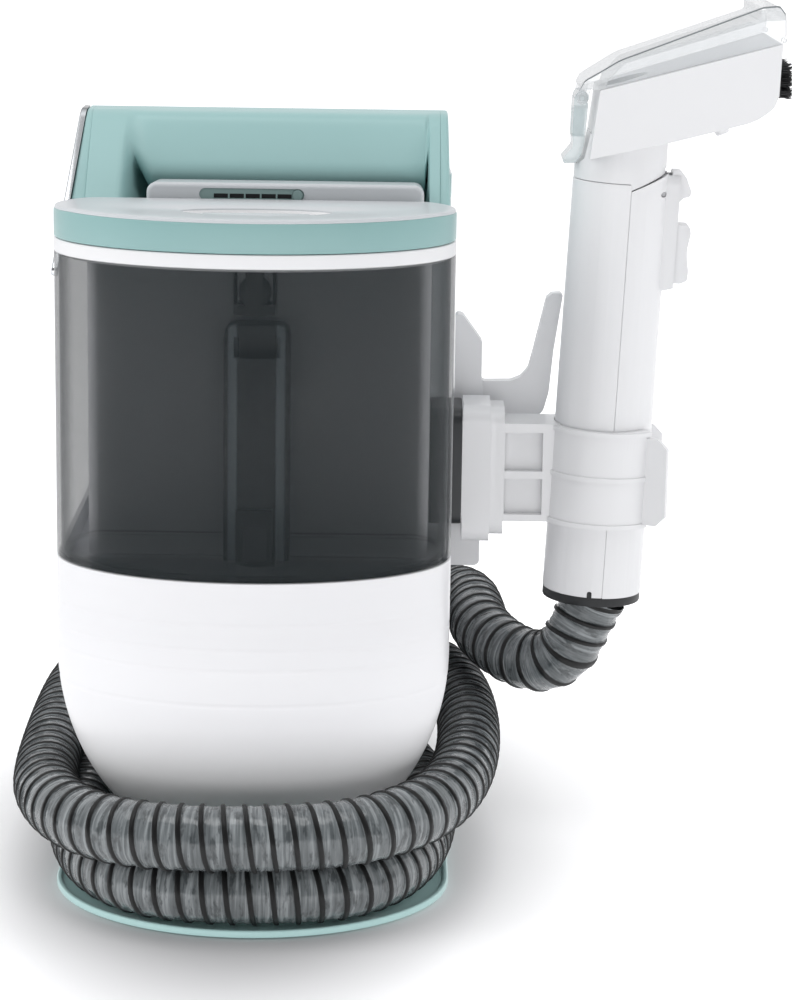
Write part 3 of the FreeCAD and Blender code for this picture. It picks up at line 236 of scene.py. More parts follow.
def newPiece(name, skin, body, material, slot, sharp=35.0, replaces=()):
    # A piece from its skin, an array of points and a list of faces: merged and turned outwards
    mesh = newMesh(name, *skin)
    tidy = bmesh.new()
    tidy.from_mesh(mesh)
    bmesh.ops.remove_doubles(tidy, verts=tidy.verts, dist=1e-6)
    bmesh.ops.dissolve_degenerate(tidy, edges=tidy.edges, dist=1e-7)
    bmesh.ops.recalc_face_normals(tidy, faces=tidy.faces)
    tidy.to_mesh(mesh)
    tidy.free()
    addPiece(name, mesh, body, material, slot, sharp, replaces)


def camel(node):
    words = node.split("_")
    return words[0] + "".join(word.title() for word in words[1:])


def standIn(node, skin, sharp=35.0, name=None):
    # A piece in place of one of the frame's nodes, with that node's body, finish and slot
    newPiece(name or camel(node), skin, bodyOf[node], nodeFinish[node], slotOf[node], sharp, [node])


def together(first, second):
    # Two skins as one
    points = [np.asarray(part[0]).reshape(-1, 3) for part in (first, second)]
    return np.vstack(points), first[1] + [[index + len(points[0]) for index in face] for face in second[1]]


# Outlines and the solids made from them

def roundedLine(corners, closed=True, steps=5):
    # Corners written (a, b, radius) become arcs: each starts and ends radius / tan(half) from the corner,
    # and its points turn evenly about a centre on the bisector
    points = []
    for n, corner in enumerate(corners):
        here = np.array(corner[:2], float)
        if len(corner) < 3 or (not closed and n in (0, len(corners) - 1)):
            points.append(here[None])
            continue
        u = np.array(corners[n - 1][:2]) - here
        w = np.array(corners[(n + 1) % len(corners)][:2]) - here
        u, w = u / np.linalg.norm(u), w / np.linalg.norm(w)
        half = math.acos(np.clip(u @ w, -1, 1)) / 2
        middle = here + (u + w) / np.linalg.norm(u + w) * corner[2] / math.sin(half)
        start = here + u * corner[2] / math.tan(half) - middle
        stop = here + w * corner[2] / math.tan(half) - middle
        sweep = math.pi - 2 * half
        share = np.linspace(0, 1, steps + 1)[:, None] * sweep
        points.append(middle + (start * np.sin(sweep - share) + stop * np.sin(share)) / math.sin(sweep))
    return np.vstack(points)


def insetLine(line, by):
    # A closed anticlockwise outline drawn in: each point moves along the sum of its two edges' inward normals
    ahead = np.roll(line, -1, 0) - line
    ahead /= np.linalg.norm(ahead, axis=1, keepdims=True)
    normal = np.stack([-ahead[:, 1], ahead[:, 0]], -1)
    before = np.roll(normal, 1, 0)
    return line + (normal + before) * by / (1 + (normal * before).sum(1, keepdims=True))


def spread(line, count):
    # Points at even steps of length along an open line
    away = np.r_[0, np.cumsum(np.linalg.norm(np.diff(line, axis=0), axis=1))]
    s = np.linspace(0, away[-1], count)
    return np.stack([np.interp(s, away, line[:, k]) for k in range(line.shape[1])], -1)


def ringStack(rings, closeRows=False):
    # Points and faces of a skin over a stack of matching rings, closed by a face at each end
    stack = np.array(rings)
    rows, columns = stack.shape[:2]
    faces = gridFaces(rows, columns, closeRows, True).tolist()
    if not closeRows:
        faces.append(list(range(columns))[::-1])
        faces.append(list(range((rows - 1) * columns, rows * columns)))
    return stack, faces


def edgedSlab(outline, low, high, edgeLow, edgeHigh, place, steps=4):
    # An outline carried from low to high with rounded edges: over a quarter turn t the outline draws in by
    # edge * (1 - sin t) while the level rises by edge * (1 - cos t), and the same in reverse at the top
    if np.sum(outline[:, 0] * np.roll(outline[:, 1], -1) - outline[:, 1] * np.roll(outline[:, 0], -1)) < 0:
        outline = outline[::-1]
    turn = np.linspace(0, math.pi / 2, steps + 1)
    draws = np.r_[edgeLow * (1 - np.sin(turn)), edgeHigh * (1 - np.cos(turn))]
    heights = np.r_[low + edgeLow * (1 - np.cos(turn)), high - edgeHigh * (1 - np.sin(turn))]
    rings = []
    for draw, height in zip(draws, heights):
        drawn = insetLine(outline, draw)
        rings.append(place(drawn[:, 0], drawn[:, 1], np.full(len(drawn), height)))
    return ringStack(rings)


def boxLine(a0, a1, b0, b1, radius):
    return roundedLine([(a0, b0, radius), (a1, b0, radius), (a1, b1, radius), (a0, b1, radius)])


def alongX(y, z, x):
    return np.stack([x, y, z], -1)


def alongY(x, z, y):
    return np.stack([x, y, z], -1)


def alongZ(x, y, z):
    return np.stack([x, y, z], -1)


# Shader kit: ordinary arithmetic on a wrapped socket adds the Math nodes

class Wire:
    def __init__(self, tree, socket):
        self.tree, self.socket = tree, socket

    def math(self, operation, *values):
        return self.tree.add("Math", dict(operation=operation), values)

    def __add__(self, other):
        return self.math("ADD", self, other)

    def __sub__(self, other):
        return self.math("SUBTRACT", self, other)

    def __rsub__(self, other):
        return self.math("SUBTRACT", other, self)

    def __mul__(self, other):
        return self.math("MULTIPLY", self, other)

    __radd__, __rmul__ = __add__, __mul__


class NodeTree:
    # A node tree with one method that adds any node

    def __init__(self, tree):
        self.tree = tree

    def add(self, kind, settings=None, values=(), out=0):
        # A node of a type, with its settings first and then the values or links of its sockets
        node = self.tree.nodes.new("ShaderNode" + kind)
        for key, value in (settings or {}).items():
            if key == "stops":
                ramp = node.color_ramp
                while len(ramp.elements) < len(value):
                    ramp.elements.new(0.5)
                for element, (place, colour) in zip(ramp.elements, value):
                    element.position = place
                    element.color = srgb(*colour) if isinstance(colour, tuple) else (*[colour] * 3, 1)
            else:
                setattr(node, key, value)
        pairs = values.items() if isinstance(values, dict) else enumerate(values)
        for key, value in pairs:
            self.feed(node.inputs[key], value)
        return Wire(self, node.outputs[out])

    def feed(self, socket, value):
        # A wire is linked, and a colour of three numbers is one as it shows on a screen
        if isinstance(value, Wire):
            self.tree.links.new(value.socket, socket)
        elif socket.type == "RGBA" and len(value) == 3:
            socket.default_value = srgb(*value)
        else:
            socket.default_value = value

    def blend(self, factor, first, second):
        return self.add("Mix", dict(data_type="RGBA"), {0: factor, 6: first, 7: second}, out=2)

    def ramp(self, factor, *stops):
        return self.add("ValToRGB", dict(stops=stops), [factor])


class Finish(NodeTree):
    # One material and its shader

    def __init__(self, name):
        self.material = bpy.data.materials.new(name)
        self.material.use_nodes = True
        super().__init__(self.material.node_tree)
        self.shader = next(n for n in self.tree.nodes if n.type == "BSDF_PRINCIPLED")
        self.output = next(n for n in self.tree.nodes if n.type == "OUTPUT_MATERIAL")

    def set(self, **values):
        for key, value in values.items():
            self.feed(self.shader.inputs[key.replace("_", " ")], value)

    def noise(self, scale, detail=2.0, rough=0.5, stretch=(1, 1, 1), where=None):
        placed = self.add("Mapping", None, dict(Vector=where or self.place(), Scale=stretch))
        return self.add("TexNoise", None, dict(Vector=placed, Scale=scale, Detail=detail, Roughness=rough))

    def place(self):
        return self.add("TexCoord", out="Object")

    def along(self, axis):
        return self.add("SeparateXYZ", None, [self.place()], out=axis)

    def facing(self, blend, *stops):
        # A ramp from where the surface faces the view to where it turns away
        return self.ramp(self.add("LayerWeight", None, dict(Blend=blend), out="Facing"), *stops)

    def surface(self, height, distance):
        self.set(Normal=self.add("Bump", None, dict(Height=height, Distance=distance, Strength=1.0)))


# Finishes

moulding = dict(
    tintScale=9.0,          # broad unevenness of the colour, cycles per metre
    grainScale=2600.0,      # fine grain left by the mould
    grainDepth=0.000003,    # metres
    scuffScale=48.0,        # patches of duller surface
    coatRough=0.12,
    fadeTint=0.12,          # share of the unevenness left where painted light changes the colour with height
)


def moulded(name, colour, tint, rough=0.32, roughSpread=0.06, coat=0.0, grain=1.0, fade=()):
    # Injection-moulded plastic: a slightly uneven colour, a fine grain and patches of duller surface. With a
    # painted fade, the colour changes with height by stops that are shares of a sixth of a metre, as painted light
    m = moulding
    f = Finish(name)
    cloud = f.noise(m["tintScale"], 3.0)
    if fade:
        colour, cloud = f.ramp(f.along("Z") * 6.0, *fade), cloud * m["fadeTint"]
    f.set(Base_Color=f.blend(cloud, colour, tint))
    f.set(Roughness=rough + (f.noise(m["scuffScale"], 4.0, 0.6) - 0.5) * (2 * roughSpread))
    f.set(Coat_Weight=coat, Coat_Roughness=m["coatRough"])
    f.surface(f.noise(m["grainScale"], 1.0), m["grainDepth"] * grain)
    return f.material


def drawnSteel(name):
    # Plain steel with a fine grain
    f = Finish(name)
    grain = f.noise(900.0, 3.0, 0.6)
    f.set(Base_Color=f.blend(grain, (182, 184, 188), (150, 152, 156)))
    f.set(Metallic=1.0, Roughness=0.24 + (grain - 0.5) * 0.10)
    f.surface(grain, 0.000005)
    return f.material


def chromed(name):
    # Bright plating with a painted reflection in its colour: white where it faces out, and painted dark along its
    # turned edges
    f = Finish(name)
    cloud = f.noise(60.0, 2.0)
    # painted reflection: the colour runs from white face-on to dark grey at grazing angles
    f.set(Base_Color=f.facing(0.45, (0.0, (244, 246, 248)), (0.4, (222, 226, 229)), (0.72, (62, 68, 70))))
    f.set(Metallic=1.0, Roughness=0.09 + cloud * 0.06)
    f.surface(cloud, 0.00002)
    return f.material


def tinted(name, colour, shade, alpha, rough):
    # Tinted clear plastic that lets part of what lies behind through, with a deep moulding's broad waves
    f = Finish(name)
    streak = f.noise(11.0, 2.0, 0.5, (1, 1, 0.25))
    f.set(Base_Color=f.blend(streak, colour, shade))
    edge = f.facing(0.5, (0.50, 0.0), (0.90, 1.0))
    f.set(Alpha=alpha + (streak - 0.5) * 0.04 + edge * 0.42)
    f.set(Roughness=rough + (f.noise(40.0) - 0.5) * 0.04)
    f.set(Coat_Weight=0.12, Coat_Roughness=0.06)
    f.set(Specular_IOR_Level=0.15)
    f.surface(f.noise(16.0, 1.0), 0.00003)
    return f.material


def ductPaintedWalls(name):
    # Dark clear duct: its two side walls show as painted paler bands of light, each inside a painted dark line of
    # shade, where the clear walls turn edge-on
    f = Finish(name)
    streak = f.noise(14.0, 2.0, 0.5, (1, 1, 0.25))
    x = f.along("X")
    across = x.math("ABSOLUTE", x) * 60.0
    # painted light and shade: pale bands and dark lines placed by the distance across the duct
    f.set(Base_Color=f.ramp(across + (streak - 0.5) * 0.02, (0.54, (20, 27, 29)),
                            (0.60, (104, 113, 117)), (0.80, (96, 105, 109)), (0.86, (8, 9, 10))))
    f.set(Alpha=0.90 + (streak - 0.5) * 0.04, Roughness=0.22 + (streak - 0.5) * 0.05)
    f.surface(streak, 0.00002)
    return f.material


def clearMoulding(name, colour, rim, alpha, rimAlpha):
    # Thin clear moulding: nearly see-through face-on, and greyer along its turned edges by painted shade
    f = Finish(name)
    edge = f.facing(0.40, (0.12, 0.0), (0.62, 1.0))
    cloud = f.noise(30.0, 2.0)
    # painted shade: the colour greys towards the turned edges
    f.set(Base_Color=f.blend(edge, colour, rim))
    f.set(Alpha=alpha + edge * rimAlpha + (cloud - 0.5) * 0.05)
    f.set(Roughness=0.07 + cloud * 0.05)
    f.set(Coat_Weight=0.5, Coat_Roughness=0.04)
    f.surface(f.noise(60.0, 1.0), 0.00002)
    return f.material


def strandHair(name):
    # Nylon bristle, streaked along its length
    f = Finish(name)
    strand = f.noise(2400.0, 2.0, 0.5, (0.08, 1, 1))
    f.set(Base_Color=f.blend(strand, (14, 14, 15), (44, 44, 46)))
    f.set(Roughness=0.42 + (strand - 0.5) * 0.3)
    f.surface(strand, 0.00003)
    return f.material


# painted highlight: near-white for the finger pan's liner, standing for the light its glossy recess catches
linerWhite = moulded("linerWhite", (250, 250, 250), (246, 246, 247), 0.36)
# painted shade: the lids' teal is darker than the handle's, as their upright bands face away from the light
lidTeal = moulded("lidTeal", (134, 170, 169), (128, 164, 163), 0.30, coat=0.25)
# painted light: the base plate's teal is paler than the handle's, lifting its shaded rim
paleTeal = moulded("paleTeal", (186, 221, 219), (180, 215, 213), 0.30, coat=0.30)
tealPlastic = moulded("tealPlastic", (153, 189, 188), (147, 184, 183), 0.40, coat=0.10)
whitePlastic = moulded("whitePlastic", (222, 222, 223), (218, 219, 221), 0.34, 0.04, coat=0.20)
# painted light: the bowl's white is brightest near its foot and dims upwards, lifting its shaded underside
bowlWhite = moulded("bowlWhite", None, (216, 218, 222), 0.34, 0.04, coat=0.20,
                    fade=((0.36, (252, 252, 252)), (0.60, (232, 232, 234)), (0.84, (222, 222, 224))))
whiteSatin = moulded("whiteSatin", (236, 236, 239), (231, 232, 235), 0.46, 0.05, grain=0.2)
lilacPlastic = moulded("lilacPlastic", (196, 199, 202), (190, 194, 197), 0.34, coat=0.15)
darkPlastic = moulded("darkPlastic", (28, 30, 32), (20, 22, 24), 0.42)
sleevePlastic = moulded("sleevePlastic", (50, 52, 54), (42, 44, 46), 0.36)
insertPlastic = moulded("insertPlastic", (132, 155, 153), (122, 145, 143), 0.40)
footRubber = moulded("footRubber", (52, 54, 55), (40, 42, 43), 0.72, 0.10, grain=4.0)
sealRubber = moulded("sealRubber", (60, 62, 64), (48, 50, 52), 0.66, 0.08, grain=3.0)
floatFoam = moulded("floatFoam", (52, 54, 55), (42, 44, 45), 0.75, 0.08, grain=8.0)
motorCan = moulded("motorCan", (120, 122, 126), (104, 106, 110), 0.4)
brightTrim = chromed("brightTrim")
springSteel = drawnSteel("springSteel")
smokeTank = tinted("smokeTank", (46, 52, 55), (38, 45, 47), 0.31, 0.09)
smokeDuct = ductPaintedWalls("smokeDuct")
clearTank = tinted("clearTank", (176, 186, 190), (160, 171, 176), 0.34, 0.12)
clearWindow = clearMoulding("clearWindow", (222, 227, 230), (122, 131, 134), 0.20, 0.46)
# painted shade: grey for the thin rod along the clear cover's turned edge
beadGrey = moulded("beadGrey", (128, 134, 136), (112, 118, 120), 0.30, coat=0.4)
latchClear = clearMoulding("latchClear", (198, 212, 214), (140, 152, 154), 0.42, 0.40)
bristleBlack = strandHair("bristleBlack")
print("finishes made")

finishNodes = (
    (paleTeal, "base_plate"),
    (bowlWhite, "lower_housing"),
    (whitePlastic, "hose_port tank_collar clean_collar wand_bracket cord_hook wand_left_shell"),
    (whitePlastic, "wand_right_shell trigger trigger_pin release_hook head_body spray_tip"),
    (whiteSatin, "tank_deck mid_tower clean_valve"),
    (tealPlastic, "handle_housing handle_back_cover side_cap_right side_cap_left"),
    (lidTeal, "tank_lid clean_lid"),
    (lilacPlastic, "console_panel lid_panel clean_panel"),
    (insertPlastic, "vent_insert power_button"),
    (darkPlastic, "power_switch fan_impeller fan_cover water_pump float_cage wand_collar spray_valve"),
    (footRubber, "base_feet cord_inlet motor_cradle"),
    (sealRubber, "lid_seal clean_seal tank_port_seal"),
    (springSteel, "base_screws tower_screws motor_shaft valve_spring bracket_screws trigger_spring"),
    (brightTrim, "side_trim"), (motorCan, "vacuum_motor"), (floatFoam, "float_ball"),
    (smokeTank, "recovery_tank"), (smokeDuct, "inlet_duct"), (clearTank, "clean_tank"),
    (clearWindow, "water_tube head_window"), (latchClear, "head_latch"), (bristleBlack, "brush_bristles"),
)
nodeFinish = {node: finish for finish, group in finishNodes for node in group.split()}
for nodeName, material in nodeFinish.items():
    nodes[nodeName].data.materials.clear()
    nodes[nodeName].data.materials.append(material)
print("nodes dressed:", len(nodeFinish))


# Camera, floor and light

view = dict(
    place=(0.068163, -1.535697, 0.515426),
    tiltDown=12.48,         # degrees
    roll=0.014,             # radians
    lens=111.384,           # millimetres on a sensor of that height
    sensor=36.0,
)


def makeCamera():
    data = bpy.data.cameras.new("camera")
    data.sensor_fit = "VERTICAL"
    data.sensor_height = view["sensor"]
    data.lens = view["lens"]
    data.clip_start, data.clip_end = 0.05, 60.0
    camera = newObject("camera", data)
    tilt = Matrix.Rotation(math.radians(90 - view["tiltDown"]), 4, "X")
    camera.matrix_world = Matrix.Translation(view["place"]) @ (tilt @ Matrix.Rotation(view["roll"], 4, "Z"))
    bpy.context.scene.camera = camera


studio = dict(
    floorRadius=24.0, floorSides=96,
    # strength of the sky by the way it lies, from the camera's side to behind the object
    sky=((0.0, 0.53), (0.45, 0.64), (0.60, 0.78), (1.0, 0.82)),
    mirrored=((0.0, 0.14), (0.35, 0.22), (0.52, 0.50), (0.66, 0.96)),
    skyColour=(0.985, 0.985, 1.0, 1),
    # the floor's ramps go by the distance from a middle, measured in an oval
    floorOval=dict(Scale=(2.8, 1.3, 0.0), Location=(0.01, 0.02, 0.0)),
    floorGlow=((0.22, 0.0), (0.32, 0.12), (0.46, 0.34), (0.80, 0.60)),      # plain white the camera sees
    # painted shadow: the floor's own colour darkens near the object
    floorShade=((0.20, (182, 182, 183)), (0.36, (236, 236, 237))),
    floorBounce=0.26,       # light the floor gives back to the object besides its own
    # each lamp's place, size and power, and whether gloss shows it
    lamps=dict(
        leftLamp=((-1.8, -0.6, 1.1), (1.0, 1.6), 15, False),
        rightLamp=((1.8, -0.3, 1.0), (1.0, 1.6), 8, False),
        lowLamp=((0.1, -1.5, 0.16), (1.6, 0.3), 4.4, False),
        topLamp=((-0.2, -0.5, 2.0), (1.6, 0.8), 8, True),
        rearLamp=((1.3, 1.5, 1.2), (1.0, 1.4), 8, False),
    ),
    lampAim=(0, 0, 0.2),
)


def areaLight(name, place, size, power, mirrored):
    # A soft panel aimed at the object's middle
    data = bpy.data.lights.new(name, "AREA")
    data.shape = "RECTANGLE"
    data.size, data.size_y = size
    data.energy = power
    lamp = newObject(name, data)
    lamp.location = place
    lamp.rotation_euler = (Vector(studio["lampAim"]) - Vector(place)).to_track_quat("-Z", "Y").to_euler()
    lamp.visible_glossy = mirrored
    lamp.visible_camera = False


def makeFloor():
    # A pale disc that keeps the cast shadow, carries a painted shadow in its colour near the object, and fades to plain
    # white away from the object
    turn = np.linspace(0, 2 * np.pi, studio["floorSides"], endpoint=False)
    ring = np.stack([np.cos(turn), np.sin(turn), 0 * turn], -1) * studio["floorRadius"]
    mesh = newMesh("floor", ring, [list(range(len(turn)))])
    f = Finish("floorWhite")
    where = f.add("Mapping", None, dict(studio["floorOval"], Vector=f.place()))
    away = f.add("VectorMath", dict(operation="LENGTH"), [where], out="Value")
    f.set(Base_Color=f.ramp(away, *studio["floorShade"]), Roughness=0.9, Specular_IOR_Level=0.1)
    seen = f.add("LightPath", out="Is Camera Ray")
    glow = f.add("Emission", None, dict(Color=(1, 1, 1, 1), Strength=f.ramp(away, *studio["floorGlow"])))
    bounce = f.add("Emission", None, dict(Color=(1, 1, 1, 1), Strength=studio["floorBounce"]))
    extra = f.add("MixShader", None, [seen, bounce, glow])
    f.feed(f.output.inputs["Surface"], f.add("AddShader", None, [Wire(f, f.shader.outputs[0]), extra]))
    mesh.materials.append(f.material)
    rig.stage(newObject("floor", mesh))


def makeWorld():
    # A pale sky, brighter behind the object; gloss mirrors a white back wall, and the camera sees plain white
    world = bpy.data.worlds.new("studio")
    bpy.context.scene.world = world
    world.use_nodes = True
    world.node_tree.nodes.clear()
    w = NodeTree(world.node_tree)
    output = world.node_tree.nodes.new("ShaderNodeOutputWorld")
    where = w.add("TexCoord", out="Generated")
    behind = w.add("SeparateXYZ", None, [where], out="Y") * 0.5 + 0.5

    def light(colour, strength):
        return w.add("Background", None, dict(Color=colour, Strength=strength))

    sky = light(studio["skyColour"], w.ramp(behind, *studio["sky"]))
    wall = light(studio["skyColour"], w.ramp(behind, *studio["mirrored"]))
    white = light((1, 1, 1, 1), 1.0)
    mixed = w.add("MixShader", None, [w.add("LightPath", out="Is Glossy Ray"), sky, wall])
    seen = w.add("LightPath", out="Is Camera Ray")
    through = w.add("LightPath", out="Is Transmission Ray")
    mixed = w.add("MixShader", None, [seen.math("MAXIMUM", seen, through), mixed, white])
    w.feed(output.inputs["Surface"], mixed)


makeCamera()
makeFloor()
makeWorld()
for name, lamp in studio["lamps"].items():
    areaLight(name, *lamp)
bpy.context.scene.view_settings.view_transform = "Standard"
print("camera, floor and light set")


# Suction hose: one ribbed tube from the wand round the back, wound on the base and into its port

hose = dict(
    radius=0.0162,          # over the ribs
    wall=0.0150,            # over the film between them
    pitch=0.0100,           # from rib to rib
    ribHalf=0.0010,
    sides=30,
    samples=(0.0, 0.075, 0.145, 0.30, 0.50, 0.70, 0.855, 0.925),   # stations along one pitch, as shares
    start=(0.17095, -0.00075, 0.1279),
    run=[(0.1618, 0.0006, 0.1078), (0.1566, 0.0014, 0.0964), (0.1446, 0.0085, 0.0885),
         (0.131, 0.021, 0.089), (0.1205, 0.038, 0.092), (0.1135, 0.057, 0.095),
         (0.1115, 0.080, 0.098), (0.1085, 0.105, 0.099), (0.096, 0.136, 0.094),
         (0.070, 0.165, 0.085), (0.034, 0.184, 0.076), (-0.006, 0.189, 0.070), (-0.046, 0.180, 0.061),
         (-0.078, 0.156, 0.054), (-0.098, 0.124, 0.050), (-0.107, 0.088, 0.048)],
    # half width, half length and height of the turns at an angle round the body, in degrees and metres
    turns=[(180, 0.108, 0.163, 0.047), (225, 0.110, 0.166, 0.048), (270, 0.110, 0.168, 0.0500),
           (315, 0.108, 0.166, 0.053), (360, 0.108, 0.163, 0.057), (405, 0.111, 0.169, 0.059),
           (450, 0.102, 0.169, 0.041), (495, 0.090, 0.161, 0.025), (540, 0.0905, 0.156, 0.0204),
           (630, 0.0900, 0.155, 0.0200), (720, 0.0865, 0.153, 0.0195)],
    firstAngle=196.0,
    lastAngle=718.0,
    stepAngle=18.0,
    frontSquare=2.8,
    backSquare=2.35,
    mouth=(0.0726, 0.0609, 0.0195),
    mouthTurn=16.0,
    lineStep=0.0005,        # between the points of the line that the ribs follow
    crestOut=1.45, crestRamp=0.75,      # where a rib's side ends and how long it is, in half ribs
    bulge=0.0004, bulgeFrom=0.0018, bulgeRun=0.0032,
    dent=0.00016, dentWaves=((3, 2.399), (5, -1.7)),    # waves round the tube and their turn from rib to rib
    cuff=0.004,             # plain length at each end
)


def turnPoint(angle):
    # A point of the wound turns: a squared oval whose size and height run smoothly between the keys
    keys = hose["turns"]
    for low, high in zip(keys, keys[1:]):
        if low[0] <= angle <= high[0]:
            share = smooth((angle - low[0]) / (high[0] - low[0]))
            halfW, halfL, z = [p + (q - p) * share for p, q in zip(low[1:], high[1:])]
    c, q = math.cos(math.radians(angle)), math.sin(math.radians(angle))
    power = 2 / (hose["frontSquare"] if q < 0 else hose["backSquare"])
    return (math.copysign(halfW * abs(c) ** power, c), math.copysign(halfL * abs(q) ** power, q), z)


def hoseRoute():
    route = [hose["start"]] + hose["run"]
    count = int((hose["lastAngle"] - hose["firstAngle"]) / hose["stepAngle"]) + 1
    route += [turnPoint(hose["firstAngle"] + n * hose["stepAngle"]) for n in range(count)]
    turn = math.radians(hose["mouthTurn"])
    x, y, z = hose["mouth"]
    reach = 2 * hose["radius"]
    route.append((x + reach * math.sin(turn), y - reach * math.cos(turn), z))
    route.append(hose["mouth"])
    return route


def smoothLine(points, name):
    # The points of a NURBS line of order 3 through its ends, read from the curve itself
    curve = bpy.data.curves.new(name, "CURVE")
    curve.dimensions = "3D"
    spline = curve.splines.new("NURBS")
    spline.points.add(len(points) - 1)
    spline.points.foreach_set("co", np.hstack([points, np.ones((len(points), 1))]).ravel())
    spline.order_u = 3
    spline.use_endpoint_u = True
    spline.resolution_u = 24
    obj = bpy.data.objects.new(name, curve)
    mesh = bpy.data.meshes.new_from_object(obj)
    line = np.zeros(len(mesh.vertices) * 3)
    mesh.vertices.foreach_get("co", line)
    bpy.data.objects.remove(obj)
    bpy.data.meshes.remove(mesh)
    line = line.reshape(-1, 3)
    keep = np.r_[True, np.linalg.norm(np.diff(line, axis=0), axis=1) > 1e-7]
    return line[keep]


def lineFrames(line, step):
    # Points every step along a line, with two sides of it carried along without twist
    length = np.linalg.norm(np.diff(line, axis=0), axis=1).sum()
    count = int(round(length / step)) + 1
    s, centre = np.linspace(0, length, count), spread(line, count)
    way = np.gradient(centre, axis=0)
    for _ in range(3):
        way[1:-1] = (way[:-2] + 2 * way[1:-1] + way[2:]) / 4
    way /= np.linalg.norm(way, axis=1, keepdims=True)
    side = np.zeros_like(way)
    side[0] = np.cross(way[0], (0, 1, 0))
    side[0] /= np.linalg.norm(side[0])
    for n in range(1, len(way)):
        carried = side[n - 1] - way[n] * side[n - 1].dot(way[n])
        side[n] = carried / np.linalg.norm(carried)
    return s, centre, side, np.cross(way, side)


def makeHose():
    # The ribs run as one helix. Point (i, j) lies at s = s_i + pitch * angle_j / full turn, so that a row
    # follows the helix; its radius is the rib's on the crest and the film's between, and the row's end joins
    # the row one pitch further on. The film bulges a little between the ribs and is a little uneven.
    line = smoothLine(np.array(hoseRoute()), "hoseLine")
    s, centre, side, up = lineFrames(line, hose["lineStep"])
    length = s[-1]
    print("hose length", round(length, 4))
    pitch, n = hose["pitch"], hose["sides"]
    shares = np.array(hose["samples"])
    count = int(length / pitch) + 1
    base = (np.arange(-1, count + 1)[:, None] + shares).ravel() * pitch
    perTurn = len(shares)
    angle = np.linspace(0, 2 * np.pi, n, endpoint=False)
    place = base[:, None] + pitch * angle / (2 * np.pi)
    phase = np.tile(shares, count + 2)
    off = np.minimum(phase, 1 - phase) * pitch
    crest = smooth((hose["ribHalf"] * hose["crestOut"] - off) / (hose["ribHalf"] * hose["crestRamp"]))
    bulge = np.sin(np.pi * np.clip((off - hose["bulgeFrom"]) / hose["bulgeRun"], 0, 1))
    film = hose["wall"] + hose["bulge"] * bulge
    radius = (hose["radius"] * crest + film * (1 - crest))[:, None]
    turnNo = np.repeat(np.arange(count + 2), perTurn)[:, None]
    first, second = [np.sin(waves * angle + turnNo * turn) for waves, turn in hose["dentWaves"]]
    radius = radius + first * second * hose["dent"] * (1 - crest[:, None])
    radius = np.where((place < hose["cuff"]) | (place > length - hose["cuff"]), hose["radius"], radius)
    place = np.clip(place, 0, length)
    index = place / (s[1] - s[0])
    low = np.clip(index.astype(int), 0, len(s) - 2)
    part = (index - low)[..., None]
    mid, across, above = [a[low] * (1 - part) + a[low + 1] * part for a in (centre, side, up)]
    points = mid + radius[..., None] * (across * np.cos(angle)[:, None] + above * np.sin(angle)[:, None])
    rows = len(base)
    i = np.arange(rows - perTurn)
    last = np.stack([i * n + n - 1, (i + perTurn) * n, (i + perTurn + 1) * n, (i + 1) * n + n - 1], -1)[:-1]
    faces = np.vstack([gridFaces(rows, n), last])
    mesh = newMesh("suctionHose", points, faces.tolist())
    ones = np.ones(place.shape)
    rib = crest[:, None] * ones
    along = np.stack([place * 100, np.cos(angle) * ones, np.sin(angle) * ones], -1)
    for key, kind, field, values in (("rib", "FLOAT", "value", rib),
                                     ("along", "FLOAT_VECTOR", "vector", along)):
        mesh.attributes.new(key, kind, "POINT").data.foreach_set(field, values.ravel().astype(np.float32))
    tidy = bmesh.new()
    tidy.from_mesh(mesh)
    bmesh.ops.remove_doubles(tidy, verts=tidy.verts, dist=1e-6)
    flat = [face for face in tidy.faces if face.calc_area() < 1e-12]
    bmesh.ops.delete(tidy, geom=flat, context="FACES_ONLY")
    bmesh.ops.recalc_face_normals(tidy, faces=tidy.faces)
    tidy.to_mesh(mesh)
    tidy.free()
    obj = addPiece("suctionHose", mesh, "housing", hoseFilm(), "hose_grey", 60, ["hose_run", "hose_coil"])
    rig.cord(obj, exit=hose["start"], length=round(length, 3), diameter=2 * hose["radius"], far_end="object",
            stiffness="medium", lay="coiled", path=line.tolist())


def hoseFilm():
    # Grey translucent film between black ribs: a few painted dark smudges of what lies behind, fine folds along
    # the ribs whose lighter and darker colour is painted light and shade, and a gloss that broad wrinkles break into
    # patches
    f = Finish("hoseFilm")
    rib = f.add("Attribute", dict(attribute_name="rib"), out="Fac")
    where = f.add("Attribute", dict(attribute_name="along"), out="Vector")
    foldAndShade = f.noise(1.2, 2.0, 0.5, (6.0, 0.5, 0.5), where)
    behindShade = f.noise(1.3, 3.0, 0.62, (2.4, 1.1, 1.1), where)
    wrinkle = f.noise(1.7, 1.0, 0.4, where=where)
    # painted light and shade: the film is lighter and darker along the folds, and painted darker where what lies behind
    # shows through
    film = f.ramp(foldAndShade, (0.30, (78, 83, 85)), (0.50, (100, 105, 107)), (0.68, (134, 139, 141)))
    film = f.blend(f.ramp(behindShade, (0.52, 0.0), (0.64, 0.7)), film, (44, 49, 51))
    edge = f.ramp(rib, (0.30, 0.0), (0.50, 1.0))
    f.set(Base_Color=f.blend(edge, film, (7, 8, 9)))
    f.set(Roughness=0.12 + foldAndShade * 0.10 + edge * 0.30)
    f.set(Coat_Weight=0.6 - edge * 0.6, Coat_Roughness=0.07)
    f.surface(wrinkle * 1.5 + foldAndShade * 0.4, 0.0011)
    return f.material


makeHose()
print("hose made")


# Plans shared by the housing, the tanks and the lids, drawn anticlockwise as seen from above

